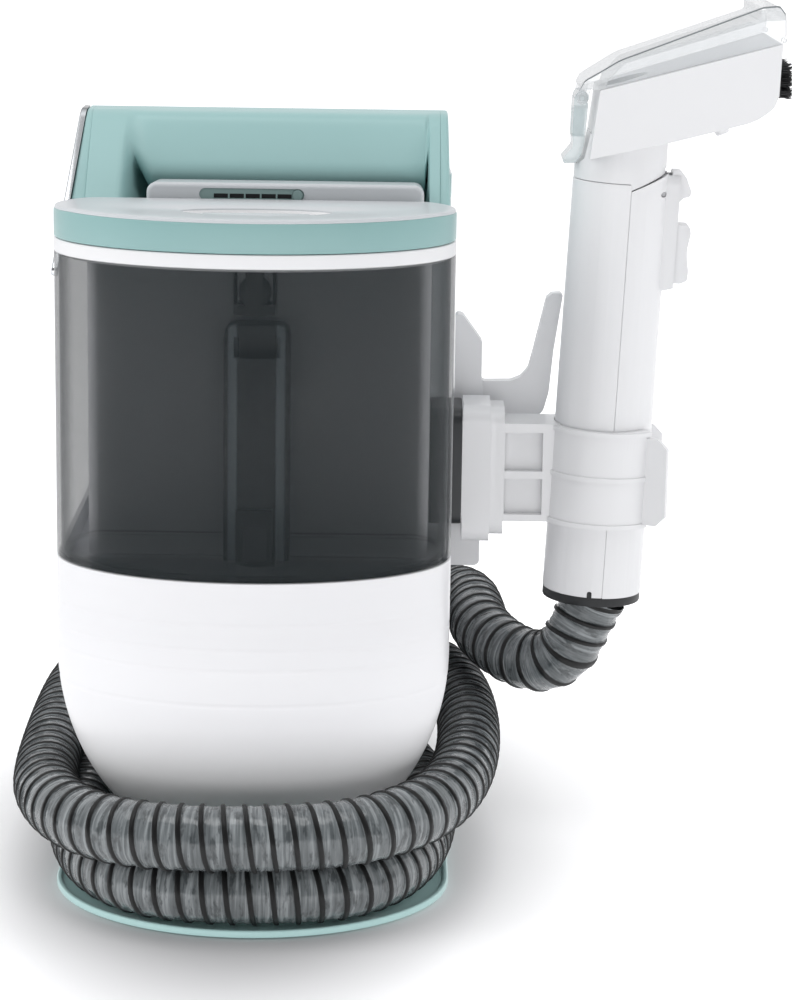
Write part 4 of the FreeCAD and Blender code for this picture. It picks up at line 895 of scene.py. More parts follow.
plan = dict(
    halfWidth=0.095, noseDepth=0.063,
    noseY=0.0825,           # the widest line of each nose
    rearDepth=0.071,        # half axis of a tank's curve behind its widest line
    frontFlat=-0.0465,      # flat wall of the dirty-water tank
    rearFlat=0.072,         # flat wall of the clean-water tank
    cornerRound=0.005, cornerShare=0.6,     # at most this share of the way back to the wall
    noseSteps=72, sideSteps=16, cornerSteps=8, wallSteps=12,
)


def ovalPlan(inset, halfWidth=plan["halfWidth"], nose=plan["noseDepth"]):
    # x = a cos u, y = middle + n sin u round each nose, joined by straight sides
    a, n, mid = halfWidth - inset, nose - inset, plan["noseY"]
    u = np.linspace(0, math.pi, plan["noseSteps"], endpoint=False)
    run = np.linspace(-mid, mid, plan["sideSteps"], endpoint=False)
    front = np.stack([-a * np.cos(u), -mid - n * np.sin(u)], -1)
    right = np.stack([np.full(len(run), a), run], -1)
    return np.vstack([front, right, -front, -right])


def tankPlan(inset, rear):
    # An elliptic nose, shoulders on a deeper ellipse, and a flat wall met in corners of a quadratic curve
    a, n, m = [plan[key] - inset for key in ("halfWidth", "noseDepth", "rearDepth")]
    mid = plan["noseY"]
    behind = (mid - plan["rearFlat"] if rear else plan["frontFlat"] + mid) - inset
    turn = math.asin(behind / m)
    u = np.linspace(0, math.pi, plan["noseSteps"], endpoint=False)
    nose = np.stack([-a * np.cos(u), -mid - n * np.sin(u)], -1)
    reach = min(plan["cornerRound"], plan["cornerShare"] * behind)
    stop = turn - reach / m
    u = np.linspace(0, stop, plan["sideSteps"], endpoint=False)
    shoulder = np.stack([a * np.cos(u), -mid + m * np.sin(u)], -1)
    edge = np.array([a * math.cos(turn), behind - mid])
    first = np.array([a * math.cos(stop), -mid + m * math.sin(stop)])
    t = np.linspace(0, 1, plan["cornerSteps"])[:, None]
    bend = first * (1 - t) ** 2 + edge * 2 * t * (1 - t) + (edge - [reach, 0]) * t ** 2
    x = np.linspace(edge[0] - reach, 0, plan["wallSteps"] + 1)[1:]
    wall = np.stack([x, np.full(len(x), edge[1])], -1)
    right = np.vstack([shoulder, bend, wall])
    left = (right * [-1, 1])[-2:0:-1]
    outline = np.vstack([nose, right, left])
    return (outline * [1, -1])[::-1] if rear else outline


def levels(make, *steps):
    # A ring for each pair of an inset and a height
    rings = []
    for inset, z in steps:
        outline = make(inset)
        rings.append(np.column_stack([outline, np.full(len(outline), z)]))
    return rings


def roundHole(outline, middle, halfX, halfY):
    # The points of an ellipse that lie the same way from its middle as an outline's points do
    away = outline - middle
    turn = np.arctan2(away[:, 1] / halfY, away[:, 0] / halfX)
    return middle + np.stack([halfX * np.cos(turn), halfY * np.sin(turn)], -1)


def edgeRings(make, z, radius, upward, steps=4):
    # Rings over a rounded edge: from the wall, a quarter turn t draws the plan in by radius * (1 - cos t)
    # while the level goes on by radius * sin t
    turn = np.linspace(0, math.pi / 2, steps + 1)
    return levels(make, *zip(radius * (1 - np.cos(turn)), z - upward * radius * (1 - np.sin(turn))))


# Base plate: a flat oval with a raised rim, and the plinth that carries the housing

base = dict(
    halfWidth=0.0964, nose=0.083,
    low=0.0008, top=0.0042,
    dish=0.0012, edge=0.0009,
    dishFrom=0.0018, dishTo=0.012,      # inset of the rim's inner side and of the flat floor
    dishSteps=((0.0, 0.0), (0.25, 0.12), (0.55, 0.5), (0.8, 0.88), (1.0, 1.0)),
    plinthInset=0.045, plinthFoot=0.003, plinthTop=0.026, plinthEdge=0.0015,
)


def makeBase():
    b = base

    def plate(inset):
        return ovalPlan(inset, b["halfWidth"], b["nose"])

    def plinth(inset):
        return ovalPlan(b["plinthInset"] + inset)

    floor, rim = b["top"] - b["dish"], b["dishFrom"]
    rings = edgeRings(plate, b["low"], b["edge"], -1)[::-1] + edgeRings(plate, b["top"], b["edge"], 1)
    dish = [(rim + rim * inset, b["top"] - fall * b["dish"]) for inset, fall in b["dishSteps"]]
    rings += levels(plate, *dish, (b["dishTo"], floor))
    rings += levels(plinth, (-b["plinthFoot"], floor), (0, floor + b["plinthFoot"]))
    rings += edgeRings(plinth, b["plinthTop"], b["plinthEdge"], 1)
    standIn("base_plate", ringStack(rings))


# Lower housing: a straight band with four faint grooves over an elliptic bowl

housing = dict(
    foot=0.026, bowlTop=0.120, top=0.1667,
    bowlSide=0.100, bowlDrop=0.110,     # half axes of the bowl's curve
    wall=0.0026, floor=0.003, edge=0.0007,
    grooves=(0.107, 0.124, 0.134, 0.146), grooveHalf=0.0018, grooveDepth=0.00016,
    bowlSteps=40, bandSteps=12, grooveSteps=9,
    innerTop=0.001, innerStep=3,        # the inside starts this far down and takes every third ring
)


def makeHousing():
    # The wall draws in by side * (1 - cos p) at height top - drop * sin p
    h = housing

    def bowlInset(z):
        below = np.clip((h["bowlTop"] - z) / h["bowlDrop"], 0, 1)
        return h["bowlSide"] * (1 - np.sqrt(1 - below ** 2))

    last = math.asin((h["bowlTop"] - h["foot"]) / h["bowlDrop"])
    turn = np.linspace(last, 0, h["bowlSteps"])
    z = h["bowlTop"] - h["bowlDrop"] * np.sin(turn)
    band = np.linspace(h["bowlTop"], h["top"] - h["edge"], h["bandSteps"])
    near = [g + h["grooveHalf"] * np.linspace(-1, 1, h["grooveSteps"]) for g in h["grooves"]]
    z = np.unique(np.round(np.concatenate([z, band] + near), 6))
    inset = bowlInset(z)
    for g in h["grooves"]:
        inset = inset + h["grooveDepth"] * (1 - smooth(np.abs(z - g) / h["grooveHalf"]))
    rings = levels(ovalPlan, *zip(inset, z)) + edgeRings(ovalPlan, h["top"], h["edge"], 1)[1:]
    inner = z[(z > h["foot"] + h["floor"]) & (z < h["top"] - h["innerTop"])][::-h["innerStep"]]
    rings += levels(ovalPlan, (h["wall"], h["top"]), *zip(bowlInset(inner) + h["wall"], inner))
    standIn("lower_housing", ringStack(rings), sharp=30)


# Tanks, their collars and their lids

tank = dict(
    foot=0.156, seam=0.167, top=0.3133,
    inset=0.0036, wall=0.0022, edge=0.0008,
    portY=-0.0585, portRadius=0.0042,
    spoutY=0.108, spoutRadius=0.008, spoutDrop=0.007, spoutBore=0.006, valveHole=0.0036,
    collarHigh=0.0068, collarEdge=0.0010, lip=0.005, spigot=0.0012,
    gap=0.0001, footEdge=0.0004, lipEdge=0.0005,
    outerSteps=12, innerSteps=8,
)


def frontPlan(inset):
    return tankPlan(inset, False)


def rearPlan(inset):
    return tankPlan(inset, True)


def makeTank(make, node):
    # Floor hole or spout, foot, shoulder and wall outside, then the same inside
    t = tank
    rear = make is rearPlan

    def hole(radius):
        middle = np.array([0, t["spoutY"] if rear else t["portY"]])
        return roundHole(make(t["inset"]), middle, radius, radius)

    low, seam, wall, inset, e = t["foot"], t["seam"], t["wall"], t["inset"], t["edge"]
    if rear:
        drop = low - t["spoutDrop"]
        rings = levels(hole, (t["valveHole"], low + wall), (t["valveHole"], low), (t["spoutBore"], low),
                       (t["spoutBore"], drop), (t["spoutRadius"], drop), (t["spoutRadius"], low))
    else:
        rings = levels(hole, (t["portRadius"], low + wall), (t["portRadius"], low))
    rings += levels(make, (inset + e, low), (inset + 0.3 * e, low + 0.3 * e), (inset, low + e), (inset, seam),
                    (e, seam), (0.3 * e, seam + 0.3 * e),
                    *[(0, z) for z in np.linspace(seam + e, t["top"], t["outerSteps"])],
                    *[(wall, z) for z in np.linspace(t["top"], seam + wall, t["innerSteps"])],
                    (inset + wall, seam + wall), (inset + wall, low + wall))
    standIn(node, ringStack(rings, True))


def makeCollar(make, node):
    t = tank
    top, lip, spigot = t["top"] + t["collarHigh"], t["lip"], t["top"] - t["spigot"]
    inner, c, d = t["wall"] + t["gap"], t["footEdge"], t["lipEdge"]
    rings = levels(make, (lip, spigot), (inner, spigot), (inner, t["top"]), (c, t["top"]), (0, t["top"] + c))
    rings += edgeRings(make, top, t["collarEdge"], 1) + levels(make, (lip - d, top), (lip, top - d))
    standIn(node, ringStack(rings, True), sharp=40)


lid = dict(
    low=0.3204, top=0.3343, panelTop=0.3359,
    edgeLow=0.0008, edgeTop=0.0007, lipInner=0.0005,
    recess=0.0050, recessFloor=0.3291, ceiling=0.3256,
    slope=0.0023, slopeFrom=0.110, slopeRun=0.0635,     # how far the top falls towards the flat wall
    plug=0.0074, plugWall=0.0022, plugLow=0.3133,
    panelEdge=0.0005, panelRound=0.0008,
    panelFlat=0.004,        # inset where the panel's flat top starts
    gripX=0.002, gripY=0.1115, gripHalfX=0.035, gripHalfY=0.0145, gripRound=0.0007,
    panFloor=0.3218, panLow=0.3193, panWall=0.002, panChamfer=0.001, panRound=0.0005,
    barHalf=0.025, barEdge=0.116, barEnd=0.1252, barDrop=0.00025, barRound=0.0018,
    barEdges=(0.0003, 0.0008),
    fit=0.0001,             # between the panel and the lid
    slopeRise=0.004,        # height over the recess floor that takes the whole slope
    # each ring of the white liner, a painted highlight in the finger pan: how far inside the pan's side, and over the
    # pan's floor or, where it is negative, under the panel's top
    liner=((0.0001, -0.0008), (0.0001, 0.0016), (0.0006, 0.0006), (0.0021, 0.0001), (0.0142, 0.0001),
           (0.0142, 0.0005), (0.0024, 0.0005), (0.0012, 0.0012), (0.0007, 0.0022), (0.0007, -0.0008)),
)


def sloped(points):
    # The same points with all above the recess floor lowered towards the flat wall
    v = lid
    fall = v["slope"] * np.clip((v["slopeFrom"] - np.abs(points[..., 1])) / v["slopeRun"], 0, 1)
    lowered = points.copy()
    lowered[..., 2] -= fall * np.clip((points[..., 2] - v["recessFloor"]) / v["slopeRise"], 0, 1)
    return lowered


def panPlan(make, inset):
    # The finger pan's oval as a plan that grows, matched point by point to the lid's plan at an inset
    v = lid
    middle = np.array([v["gripX"], v["gripY"] if make is rearPlan else -v["gripY"]])

    def pan(grow):
        return roundHole(make(inset), middle, v["gripHalfX"] + grow, v["gripHalfY"] + grow)

    return pan


def makeLid(make, node):
    # The rings run from under the finger pan, down and round the plug, up the band and over its lip to the
    # recess floor, and down into the pan
    v = lid
    pan = panPlan(make, v["recess"])
    plug, foot, inner, ceiling = v["plug"], v["plugLow"], v["plug"] + v["plugWall"], v["ceiling"]
    floor, recess, top, lip, wall = v["panFloor"], v["recess"], v["top"], v["lipInner"], v["panWall"]
    c, r = v["panChamfer"], v["panRound"]
    rings = levels(pan, (wall - c, v["panLow"]), (wall, v["panLow"] + c), (wall, ceiling))
    rings += levels(make, (inner, ceiling), (inner, foot), (plug, foot), (plug, v["low"]))
    rings += edgeRings(make, v["low"], v["edgeLow"], -1)[::-1] + edgeRings(make, top, v["edgeTop"], 1)
    rings += levels(make, (recess - lip, top), (recess, top - lip), (recess, v["recessFloor"]))
    rings += levels(pan, (0, v["recessFloor"]), (0, floor + 3 * r), (-r, floor + r), (-4 * r, floor))
    points, faces = ringStack(rings)
    standIn(node, (sloped(points), faces))

    # the liner's near-white is a painted highlight of the glossy finger recess
    liner = [(-inside, z + (floor if z > 0 else v["panelTop"])) for inside, z in v["liner"]]
    points, faces = ringStack(levels(pan, *liner), True)
    skin = sloped(points), faces
    newPiece(camel(node) + "Pan", skin, bodyOf[node], linerWhite, "white_plastic", sharp=40)


def makePanel(make, node):
    # A plate with a rounded rim and a lens-shaped hole, crossed at its outer side by a grip bar
    v = lid
    pan = panPlan(make, v["panelEdge"])
    top, floor, r = v["panelTop"], v["recessFloor"], v["gripRound"]
    outer = v["recess"] + v["fit"]
    rings = levels(make, (outer, floor), (outer, v["top"]), (v["panelEdge"], v["top"]))
    rings += edgeRings(lambda inset: make(v["panelEdge"] + inset), top, v["panelRound"], 1)
    rings += levels(make, (v["panelFlat"], top))
    rings += levels(pan, (r, top), (0.3 * r, top - 0.3 * r), (0, top - r), (0, floor))
    side = 1 if make is rearPlan else -1
    y = sorted((side * v["barEdge"], side * v["barEnd"]))
    outline = boxLine(v["gripX"] - v["barHalf"], v["gripX"] + v["barHalf"], *y, v["barRound"])
    bar = edgedSlab(outline, floor, top - v["barDrop"], *v["barEdges"], alongZ)
    points, faces = together(ringStack(rings, True), bar)
    standIn(node, (sloped(points), faces))


makeBase()
makeHousing()
for make, tankNode, collarNode, lidNode, panelNode in (
        (frontPlan, "recovery_tank", "tank_collar", "tank_lid", "lid_panel"),
        (rearPlan, "clean_tank", "clean_collar", "clean_lid", "clean_panel")):
    makeTank(make, tankNode)
    makeCollar(make, collarNode)
    makeLid(make, lidNode)
    makePanel(make, panelNode)
print("base, housing, tanks and lids made")


# Carry handle: a raked front that turns into a rounded grip over a hollow, its back cover and its end caps

handle = dict(
    left=-0.0860, right=0.0876,
    low=0.3130, foot=(-0.0453, 0.3145),
    ridge=0.3698, ridgeFront=0.0153, ridgeBack=0.0420,
    frontRound=0.016, backRound=0.009,
    rear=0.0708, rearFoot=0.3240, rearRound=0.004,
    hollowFloor=0.3165, hollowBack=0.0380, hollowTop=0.3325, floorRound=0.004, topRound=0.003,
    hollowLeft=-0.0700, hollowBlend=0.0150,     # where the hollow's slanted left wall starts, and its width
    hollowRight=0.0826, rightBlend=0.0026,
    floorFront=-0.0431,
    # corners of the grip over the hollow: its lower edge, its front and the ridge
    gripLine=((0.0030, 0.3325, 0.003), (-0.0036, 0.3400, 0.010), (0.0128, 0.3692, 0.008)),
    # the console's bay: its two ends, the y that the front is cut back to there, and how high the cut reaches
    bayLeft=-0.0549, bayRight=0.0800, bayBack=-0.0077, bayRise=0.001, bayStep=0.00002,
    crest=0.0215,           # where the ridge's flat top starts
    seam=0.0420, seamRound=0.0004, seamGap=0.0001,      # between the front and its back cover
    samples=88, profileSteps=14, climbSteps=10,
    # sections along the handle
    leadIn=0.004, leadSteps=3, wallSteps=22, gripIn=(0.003, 0.001), gripSteps=14, endSteps=9,
    sharp=32,
    capFoot=(-0.0946, 0.0934), capTop=(-0.0890, 0.0916), capEdge=0.0019, capSteps=6,
)


def handleProfile():
    # The whole outline from its foot: up the rake, over the ridge and down the back, as y and z
    h = handle
    corners = [h["foot"], (h["ridgeFront"], h["ridge"], h["frontRound"]),
               (h["ridgeBack"], h["ridge"], h["backRound"]),
               (h["rear"], h["rearFoot"], h["rearRound"]), (h["rear"], h["low"])]
    return roundedLine(corners, False, h["profileSteps"])


def frontPath(hollow):
    # The front from its foot to the top of the ridge: straight up the rake, or round the hollow and the grip
    h = handle
    profile = handleProfile()
    if not hollow:
        return spread(profile[profile[:, 0] < h["crest"]], h["samples"])
    back, low = h["hollowBack"], h["hollowFloor"]
    climb = [h["foot"], (h["floorFront"], low), (back, low, h["floorRound"]),
             (back, h["hollowTop"], h["topRound"]), *h["gripLine"], (h["crest"], h["ridge"])]
    return spread(roundedLine(climb, False, h["climbSteps"]), h["samples"])


def frontRing(x, hollow, bay):
    # One closed section of the front: the raked line and the hollow's line mixed by a share
    h = handle
    line = frontPath(False) * (1 - hollow) + frontPath(True) * hollow
    if bay:
        floor = (line[:, 0] < h["bayBack"]) & (line[:, 1] < h["hollowFloor"] + h["bayRise"])
        line = np.where(floor[:, None], np.stack([np.full(len(line), h["bayBack"]), line[:, 1]], -1), line)
    seam, r = h["seam"], h["seamRound"]
    profile = handleProfile()
    over = profile[(profile[:, 0] > h["crest"]) & (profile[:, 0] < seam - 2 * r)]
    z = np.interp(seam, profile[:, 0], profile[:, 1])
    tail = [(seam - 1.5 * r, z + 0.2 * r), (seam - 0.5 * r, z - 0.3 * r), (seam, z - r), (seam, h["low"]),
            (line[0, 0], h["low"])]
    ring = np.vstack([line, over, tail])
    return alongX(ring[:, 0], ring[:, 1], np.full(len(ring), x))


def makeHandle():
    # Sections along x: the hollow comes in over its slanted left wall and goes out over a short right one
    h = handle
    start, stop, end = h["hollowLeft"], h["hollowLeft"] + h["hollowBlend"], h["hollowRight"] - h["rightBlend"]
    left, right, step = h["bayLeft"], h["bayRight"], h["bayStep"]
    lead = np.linspace(start - h["leadIn"], start, h["leadSteps"])
    wall = np.linspace(start, stop, h["wallSteps"])[1:]
    grip = np.linspace(left + h["gripIn"][0], right - h["gripIn"][1], h["gripSteps"])
    close = np.linspace(end, h["hollowRight"], h["endSteps"])
    stations = np.r_[h["left"], lead, wall, left - step, left, grip, right - step, right, close, h["right"]]
    rings = []
    for x in np.unique(np.round(stations, 7)):
        hollow = smooth((x - start) / (stop - start)) * (1 - smooth((x - end) / h["rightBlend"]))
        rings.append(frontRing(x, hollow, left - 1e-6 < x < right - 1e-6))
    standIn("handle_housing", ringStack(rings), h["sharp"], "handleFront")

    seam, r = h["seam"] + h["seamGap"], h["seamRound"]
    profile = handleProfile()
    z = np.interp(seam, profile[:, 0], profile[:, 1])
    over = profile[profile[:, 0] > seam + 2 * r]
    cover = np.vstack([[(seam, h["low"]), (seam, z - r), (seam + 0.5 * r, z - 0.5 * r)], over])
    slab = edgedSlab(cover, h["left"], h["right"], r, r, alongX)
    standIn("handle_back_cover", slab, h["sharp"], "handleBack")


def makeCaps():
    # A cap over each end of the handle, whose outer face leans in towards the ridge
    h = handle
    profile = np.vstack([handleProfile()[1:], [(h["foot"][0], h["low"])]])
    for side, inner, foot, top in zip(("left", "right"), (h["left"], h["right"]), h["capFoot"], h["capTop"]):
        thick = abs(foot - inner)

        def place(y, z, away):
            outer = foot + (top - foot) * (z - h["low"]) / (h["ridge"] - h["low"])
            return alongX(y, z, inner + (outer - inner) * away / thick)

        cap = edgedSlab(profile, 0, thick, h["seamRound"], h["capEdge"], place, h["capSteps"])
        standIn("side_cap_" + side, cap, h["sharp"], "cap" + side.title())


trim = dict(
    wide=0.0054, thick=0.0030, proud=0.0006,
    low=0.2990,             # height of its lower end
    back=0.0360,            # how far it runs back over the ridge
    edge=0.0009, sunkEdge=0.0002, endRound=0.47,    # the ends' radius as a share of its width
    gap=0.0001,             # to the cap
    steps=12,               # in each of its arcs
)


def makeTrim():
    # A bright band up the raked edge and over the ridge, round at both ends, leaning with the left cap
    h, t = handle, trim
    rise, run = h["ridge"] - h["foot"][1], h["ridgeFront"] - h["foot"][0]
    outY, outZ = -rise / math.hypot(rise, run), run / math.hypot(rise, run)
    share = math.tan(math.atan2(rise, run) / 2)
    lowY = h["ridgeFront"] - (h["ridge"] - t["low"]) * run / rise
    end = t["endRound"] * t["wide"]
    corners = []
    for out in (t["proud"] - t["wide"], t["proud"]):
        corners.append([(lowY + outY * out, t["low"] + outZ * out, end),
                        (h["ridgeFront"] - share * out, h["ridge"] + out, h["frontRound"] + out),
                        (t["back"], h["ridge"] + out, end)])
    inside, outside = corners
    outline = roundedLine(inside[:1] + outside + inside[:0:-1], steps=t["steps"])
    foot, top = h["capFoot"][0], h["capTop"][0]
    outer = foot - t["gap"]
    lean = math.atan2(top - foot, h["ridge"] - h["low"])

    def place(y, z, x):
        # Turned about the cap's foot by its lean
        across, up = x - outer, z - h["low"]
        return alongX(y, h["low"] - across * math.sin(lean) + up * math.cos(lean),
                      outer + across * math.cos(lean) + up * math.sin(lean))

    band = edgedSlab(outline, outer - t["thick"], outer, t["edge"], t["sunkEdge"], place)
    standIn("side_trim", band, h["sharp"])


makeHandle()
makeCaps()
makeTrim()
print("handle, caps and trim made")


# Small pieces: a dark pad over the bracket's foot as painted shade, the backs of the arm's pockets, the frame at
# the foot of the duct, and a black plate behind the vent as painted shade

small = dict(
    # each box: its plane, its two spans, the corners' radius, the span across, the edges' radii, body, finish
    # painted shade: a dark grey pad where the bracket's foot lies in shade beside the tank
    bracketShadePad=(alongX, (-0.0204, 0.0204), (0.1669, 0.2264), 0.0074, (0.0846, 0.1012), (0.0003, 0.0012),
                   "housing", sleevePlastic),
    bracketWeb1=(alongY, (0.1223, 0.1417), (0.1719, 0.1905), 0.0004, (-0.0092, 0.0010), (0.0002, 0.0002),
                 "housing", whitePlastic),
    bracketWeb2=(alongY, (0.1223, 0.1417), (0.1941, 0.2141), 0.0004, (-0.0092, 0.0010), (0.0002, 0.0002),
                 "housing", whitePlastic),
    ductFrame=(alongY, (-0.0099, 0.0081), (0.1585, 0.1843), 0.0010, (-0.0676, -0.0662), (0.0005, 0.0001),
               "recovery_tank", darkPlastic),
    ductGate=(alongY, (-0.0065, 0.0047), (0.1600, 0.1762), 0.0007, (-0.0684, -0.0674), (0.0004, 0.0001),
              "recovery_tank", sleevePlastic),
    # painted shade: a black plate behind the vent's slots
    ventBack=(alongY, (-0.0224, 0.0164), (0.3334, 0.3360), 0.0003, (-0.0435, -0.0430), (0.0001, 0.0001),
              "housing", darkPlastic),
)
for name, (place, first, second, corner, across, edges, body, finish) in small.items():
    slot = "white_plastic" if finish is whitePlastic else "dark_plastic"
    newPiece(name, edgedSlab(boxLine(*first, *second, corner), *across, *edges, place), body, finish, slot)


# Black ring at the wand's foot

ring = dict(
    foot=(0.1684, 0.1270), tilt=2.5,        # x and z of the wand's foot, and its lean in degrees
    outer=0.0248, bore=0.0194, high=0.0045, edge=0.0006, sides=72,
    notchHalf=0.0012, notchHigh=0.0034, notchTurn=-6.0,
    notchRound=0.0010, notchThick=0.0010, notchSunk=0.0006, notchFoot=0.0005,
    notchEdges=(0.0001, 0.0002),
)


def makeRing():
    # A ring about the wand's axis, with a notch that stands up from it over the shell
    r = ring
    lean = math.radians(r["tilt"])
    turn = np.linspace(0, 2 * np.pi, r["sides"], endpoint=False)

    def carried(across, depth, up):
        return alongX(depth, r["foot"][1] - across * math.sin(lean) + up * math.cos(lean),
                      r["foot"][0] + across * math.cos(lean) + up * math.sin(lean))

    outer, bore, high, e = r["outer"], r["bore"], r["high"], r["edge"]
    rings = [carried(radius * np.cos(turn), radius * np.sin(turn), np.full(len(turn), up)) for radius, up in (
        (bore, 0), (outer - e, 0), (outer - 0.3 * e, 0.3 * e), (outer, e), (outer, high), (bore, high))]
    middle = math.radians(r["notchTurn"] - 90)
    half = r["notchHalf"]
    outline = boxLine(-half, half, high - r["notchFoot"], high + r["notchHigh"], r["notchRound"])

    def place(side, up, away):
        reach = outer - r["notchSunk"] + away
        return carried(reach * math.cos(middle) - side * math.sin(middle),
                       reach * math.sin(middle) + side * math.cos(middle), up)

    notch = edgedSlab(outline, 0, r["notchThick"], *r["notchEdges"], place)
    standIn("wand_collar", together(ringStack(rings, True), notch), name="wandRing")


makeRing()
print("small pieces made")


# Moulded pieces whose shape is the frame's own: copied, their flat faces joined and their edges rounded

roundings = dict(
    wand_left_shell=0.0006, wand_right_shell=0.0006, wand_bracket=0.0012, cord_hook=0.0022, head_body=0.0009,
    head_window=0.0006, spray_tip=0.0003, head_latch=0.0005, trigger=0.0008, release_hook=0.0007,
    console_panel=0.0004, mid_tower=0.0010, hose_port=0.0006, vent_insert=0.0003, inlet_duct=0.0006,
)
rounding = dict(segments=2, angle=28, flat=1.0, sharp=30)       # angles in degrees
headFrom = 0.165            # x where the head starts to be drawn in
headDraw = 0.046            # share of the head's reach past that line that is drawn in
consoleFall = 0.075         # how fast the console's top falls to the back
consoleSkirt = 0.325        # height under which the console keeps its shape
consoleFront = -0.0445      # y of its front edge


def roundedCopy(node, width):
    mesh = nodes[node].data.copy()
    tidy = bmesh.new()
    tidy.from_mesh(mesh)
    for vertex in tidy.verts:
        if node in ("head_body", "head_window", "spray_tip"):
            vertex.co.x -= headDraw * max(0.0, vertex.co.x - headFrom)
        if node == "console_panel" and vertex.co.z > consoleSkirt:
            vertex.co.z -= consoleFall * (vertex.co.y - consoleFront)
    bmesh.ops.remove_doubles(tidy, verts=tidy.verts, dist=1e-6)
    flat = math.radians(rounding["flat"])
    bmesh.ops.dissolve_limit(tidy, angle_limit=flat, verts=tidy.verts, edges=tidy.edges)
    tidy.to_mesh(mesh)
    tidy.free()
    mesh.name = camel(node if "_" in node else node + "_lever")
    obj = addPiece(mesh.name, mesh, bodyOf[node], nodeFinish[node], slotOf[node], rounding["sharp"], [node])
    bevel = obj.modifiers.new("edge", "BEVEL")
    bevel.width = width
    bevel.segments = rounding["segments"]
    bevel.limit_method = "ANGLE"
    bevel.angle_limit = math.radians(rounding["angle"])
    weighted = obj.modifiers.new("shade", "WEIGHTED_NORMAL")
    weighted.keep_sharp = True


for node, width in roundings.items():
    roundedCopy(node, width)
print("moulded edges rounded:", len(roundings))


# Grey bead along the clear cover's near upper edge, a painted shade for the grey line that turned edge shows

bead = dict(
    start=(0.152, -0.0220), splay=0.16,     # the near wall lies past this line of x and y
    radius=0.00042, sides=8, steps=90,
)


def makeBead():
    # The upper chain of the near wall's corners, from left to right, carries a thin round rod
    b = bead
    corners = np.array([vertex.co for vertex in nodes["head_window"].data.vertices])
    wall = corners[corners[:, 1] < b["start"][1] - b["splay"] * (corners[:, 0] - b["start"][0])]
    wall = wall[np.lexsort((wall[:, 2], wall[:, 0]))]
    chain = []
    for corner in wall:
        while len(chain) > 1:
            ahead, back = corner - chain[-1], chain[-1] - chain[-2]
            if back[0] * ahead[2] - back[2] * ahead[0] < 0:
                break
            chain.pop()
        chain.append(corner)
    line = spread(np.array(chain), b["steps"])
    line[:, 0] -= headDraw * np.maximum(0.0, line[:, 0] - headFrom)
    turn = np.linspace(0, 2 * np.pi, b["sides"], endpoint=False)
    rings = line[:, None] + b["radius"] * np.stack([0 * turn, np.cos(turn), np.sin(turn)], -1)
    newPiece("coverBead", ringStack(rings), "head_window", beadGrey, "clear_window", sharp=60)


makeBead()
print("cover bead made")


# Brush: rows of tufts on a strip across the mouth of the head

brush = dict(
    half=0.0355,            # half the strip's length across the head
    foot=0.2503, face=0.2511,       # where the strip stands, and where its face is
    corner=0.0008, footEdge=0.0001, faceEdge=0.0003,
    low=0.3845, high=0.4000,
    tufts=14,
    rows=(0.3868, 0.3922, 0.3976),
    hairs=40,               # in a tuft
    tuftHalf=0.0024,
    endGap=0.0022,          # from the strip's end to the middle of the last tuft
    reach=0.0050, reachSpread=0.0013,
    sunk=0.0002,            # how far a hair's root lies under the face
    hairRadius=0.00034,
    stages=(0.0, 0.55, 1.0), taper=(1.0, 0.8, 0.33),    # a hair's rings: share of its reach and of its radius
    spread=0.0011,          # how far a tuft's tips lean apart
    leanSpread=0.0004,      # and each hair by itself
    seed=7,
)


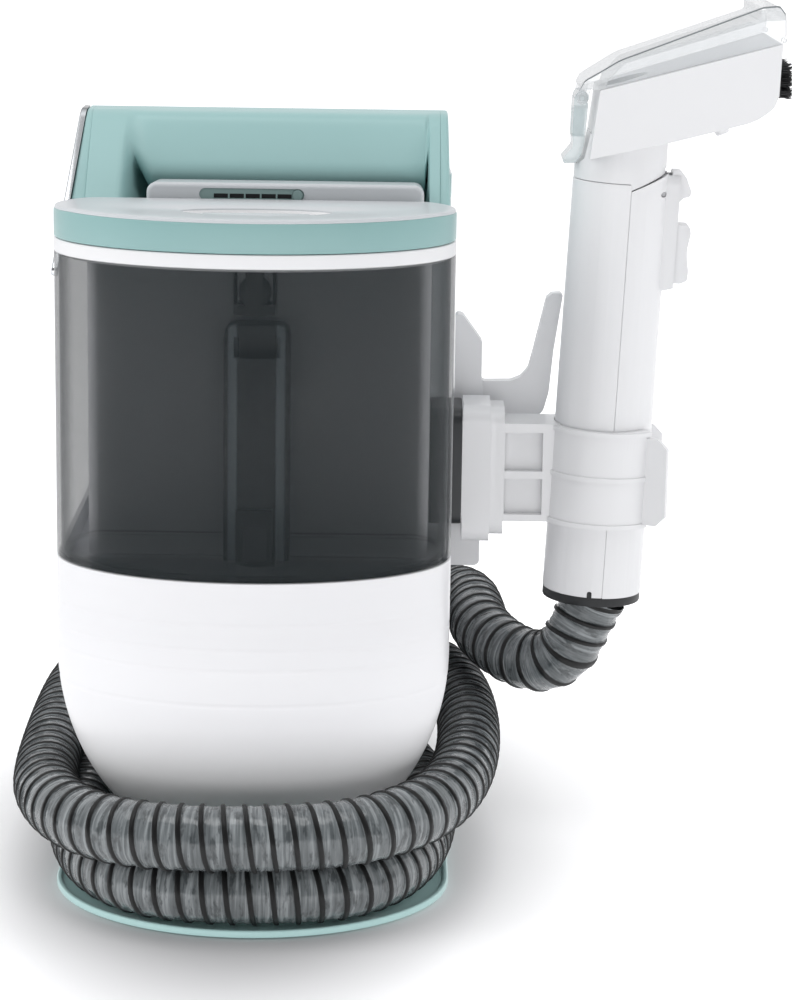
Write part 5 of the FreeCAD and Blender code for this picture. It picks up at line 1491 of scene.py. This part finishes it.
def makeBristles():
    # A hair is a four-sided rod in three rings, whose radius falls to a third at its tip and whose line bends
    # by spread * t^2 away from the middle of its tuft
    b = brush
    draw = np.random.default_rng(b["seed"])
    y = np.linspace(b["endGap"] - b["half"], b["half"] - b["endGap"], b["tufts"])
    centre = np.stack(np.meshgrid(y, b["rows"], indexing="ij"), -1).reshape(-1, 1, 2)
    count = len(centre)
    turn = draw.uniform(0, 2 * np.pi, (count, b["hairs"]))
    away = np.sqrt(draw.uniform(0, 1, (count, b["hairs"])))
    offset = np.stack([np.cos(turn), np.sin(turn)], -1) * away[..., None]
    root = (centre + offset * b["tuftHalf"]).reshape(-1, 2)
    lean = (offset * b["spread"] + draw.normal(0, b["leanSpread"], offset.shape)).reshape(-1, 2)
    reach = b["reach"] + draw.uniform(-1, 1, len(root)) * b["reachSpread"]
    t = np.array(b["stages"])
    mid = np.zeros((len(root), 3, 3))
    mid[..., 0] = b["face"] - b["sunk"] + reach[:, None] * t
    mid[..., 1:] = root[:, None] + lean[:, None] * (t ** 2)[:, None]
    corner = np.arange(4) * np.pi / 2
    radius = b["hairRadius"] * np.array(b["taper"])
    points = np.repeat(mid[:, :, None], 4, 2)
    points[..., 1] += radius[:, None] * np.cos(corner)
    points[..., 2] += radius[:, None] * np.sin(corner)
    one = gridFaces(3, 4, False, True).tolist() + [[3, 2, 1, 0], [8, 9, 10, 11]]
    faces = [[index + 12 * n for index in face] for n in range(len(root)) for face in one]
    outline = boxLine(-b["half"], b["half"], b["low"], b["high"], b["corner"])
    strip = edgedSlab(outline, b["foot"], b["face"], b["footEdge"], b["faceEdge"], alongX)
    standIn("brush_bristles", together((points, faces), strip), sharp=40)


makeBristles()
print("bristles made")


# Springs: each one shortens as its joint moves

springs = dict(
    # joint, the spring's own axis, its fixed end and the share of its length kept at the joint's limit
    valve_spring=("clean_valve_open", (0, 0, 1), (0, 0.108, 0.1559), 0.40),
    trigger_spring=("trigger_squeeze", (0.99905, 0, -0.04362), (0.1898, 0, 0.2942), 0.70),
)
for node, spring in springs.items():
    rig.squash(nodes[node], *spring)
print("springs follow their joints")

sceneBox = [list(corner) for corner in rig.bounds()]
with open("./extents.json", "w") as sizeFile:
    json.dump(dict(cad=cadBox, scene=sceneBox), sizeFile)
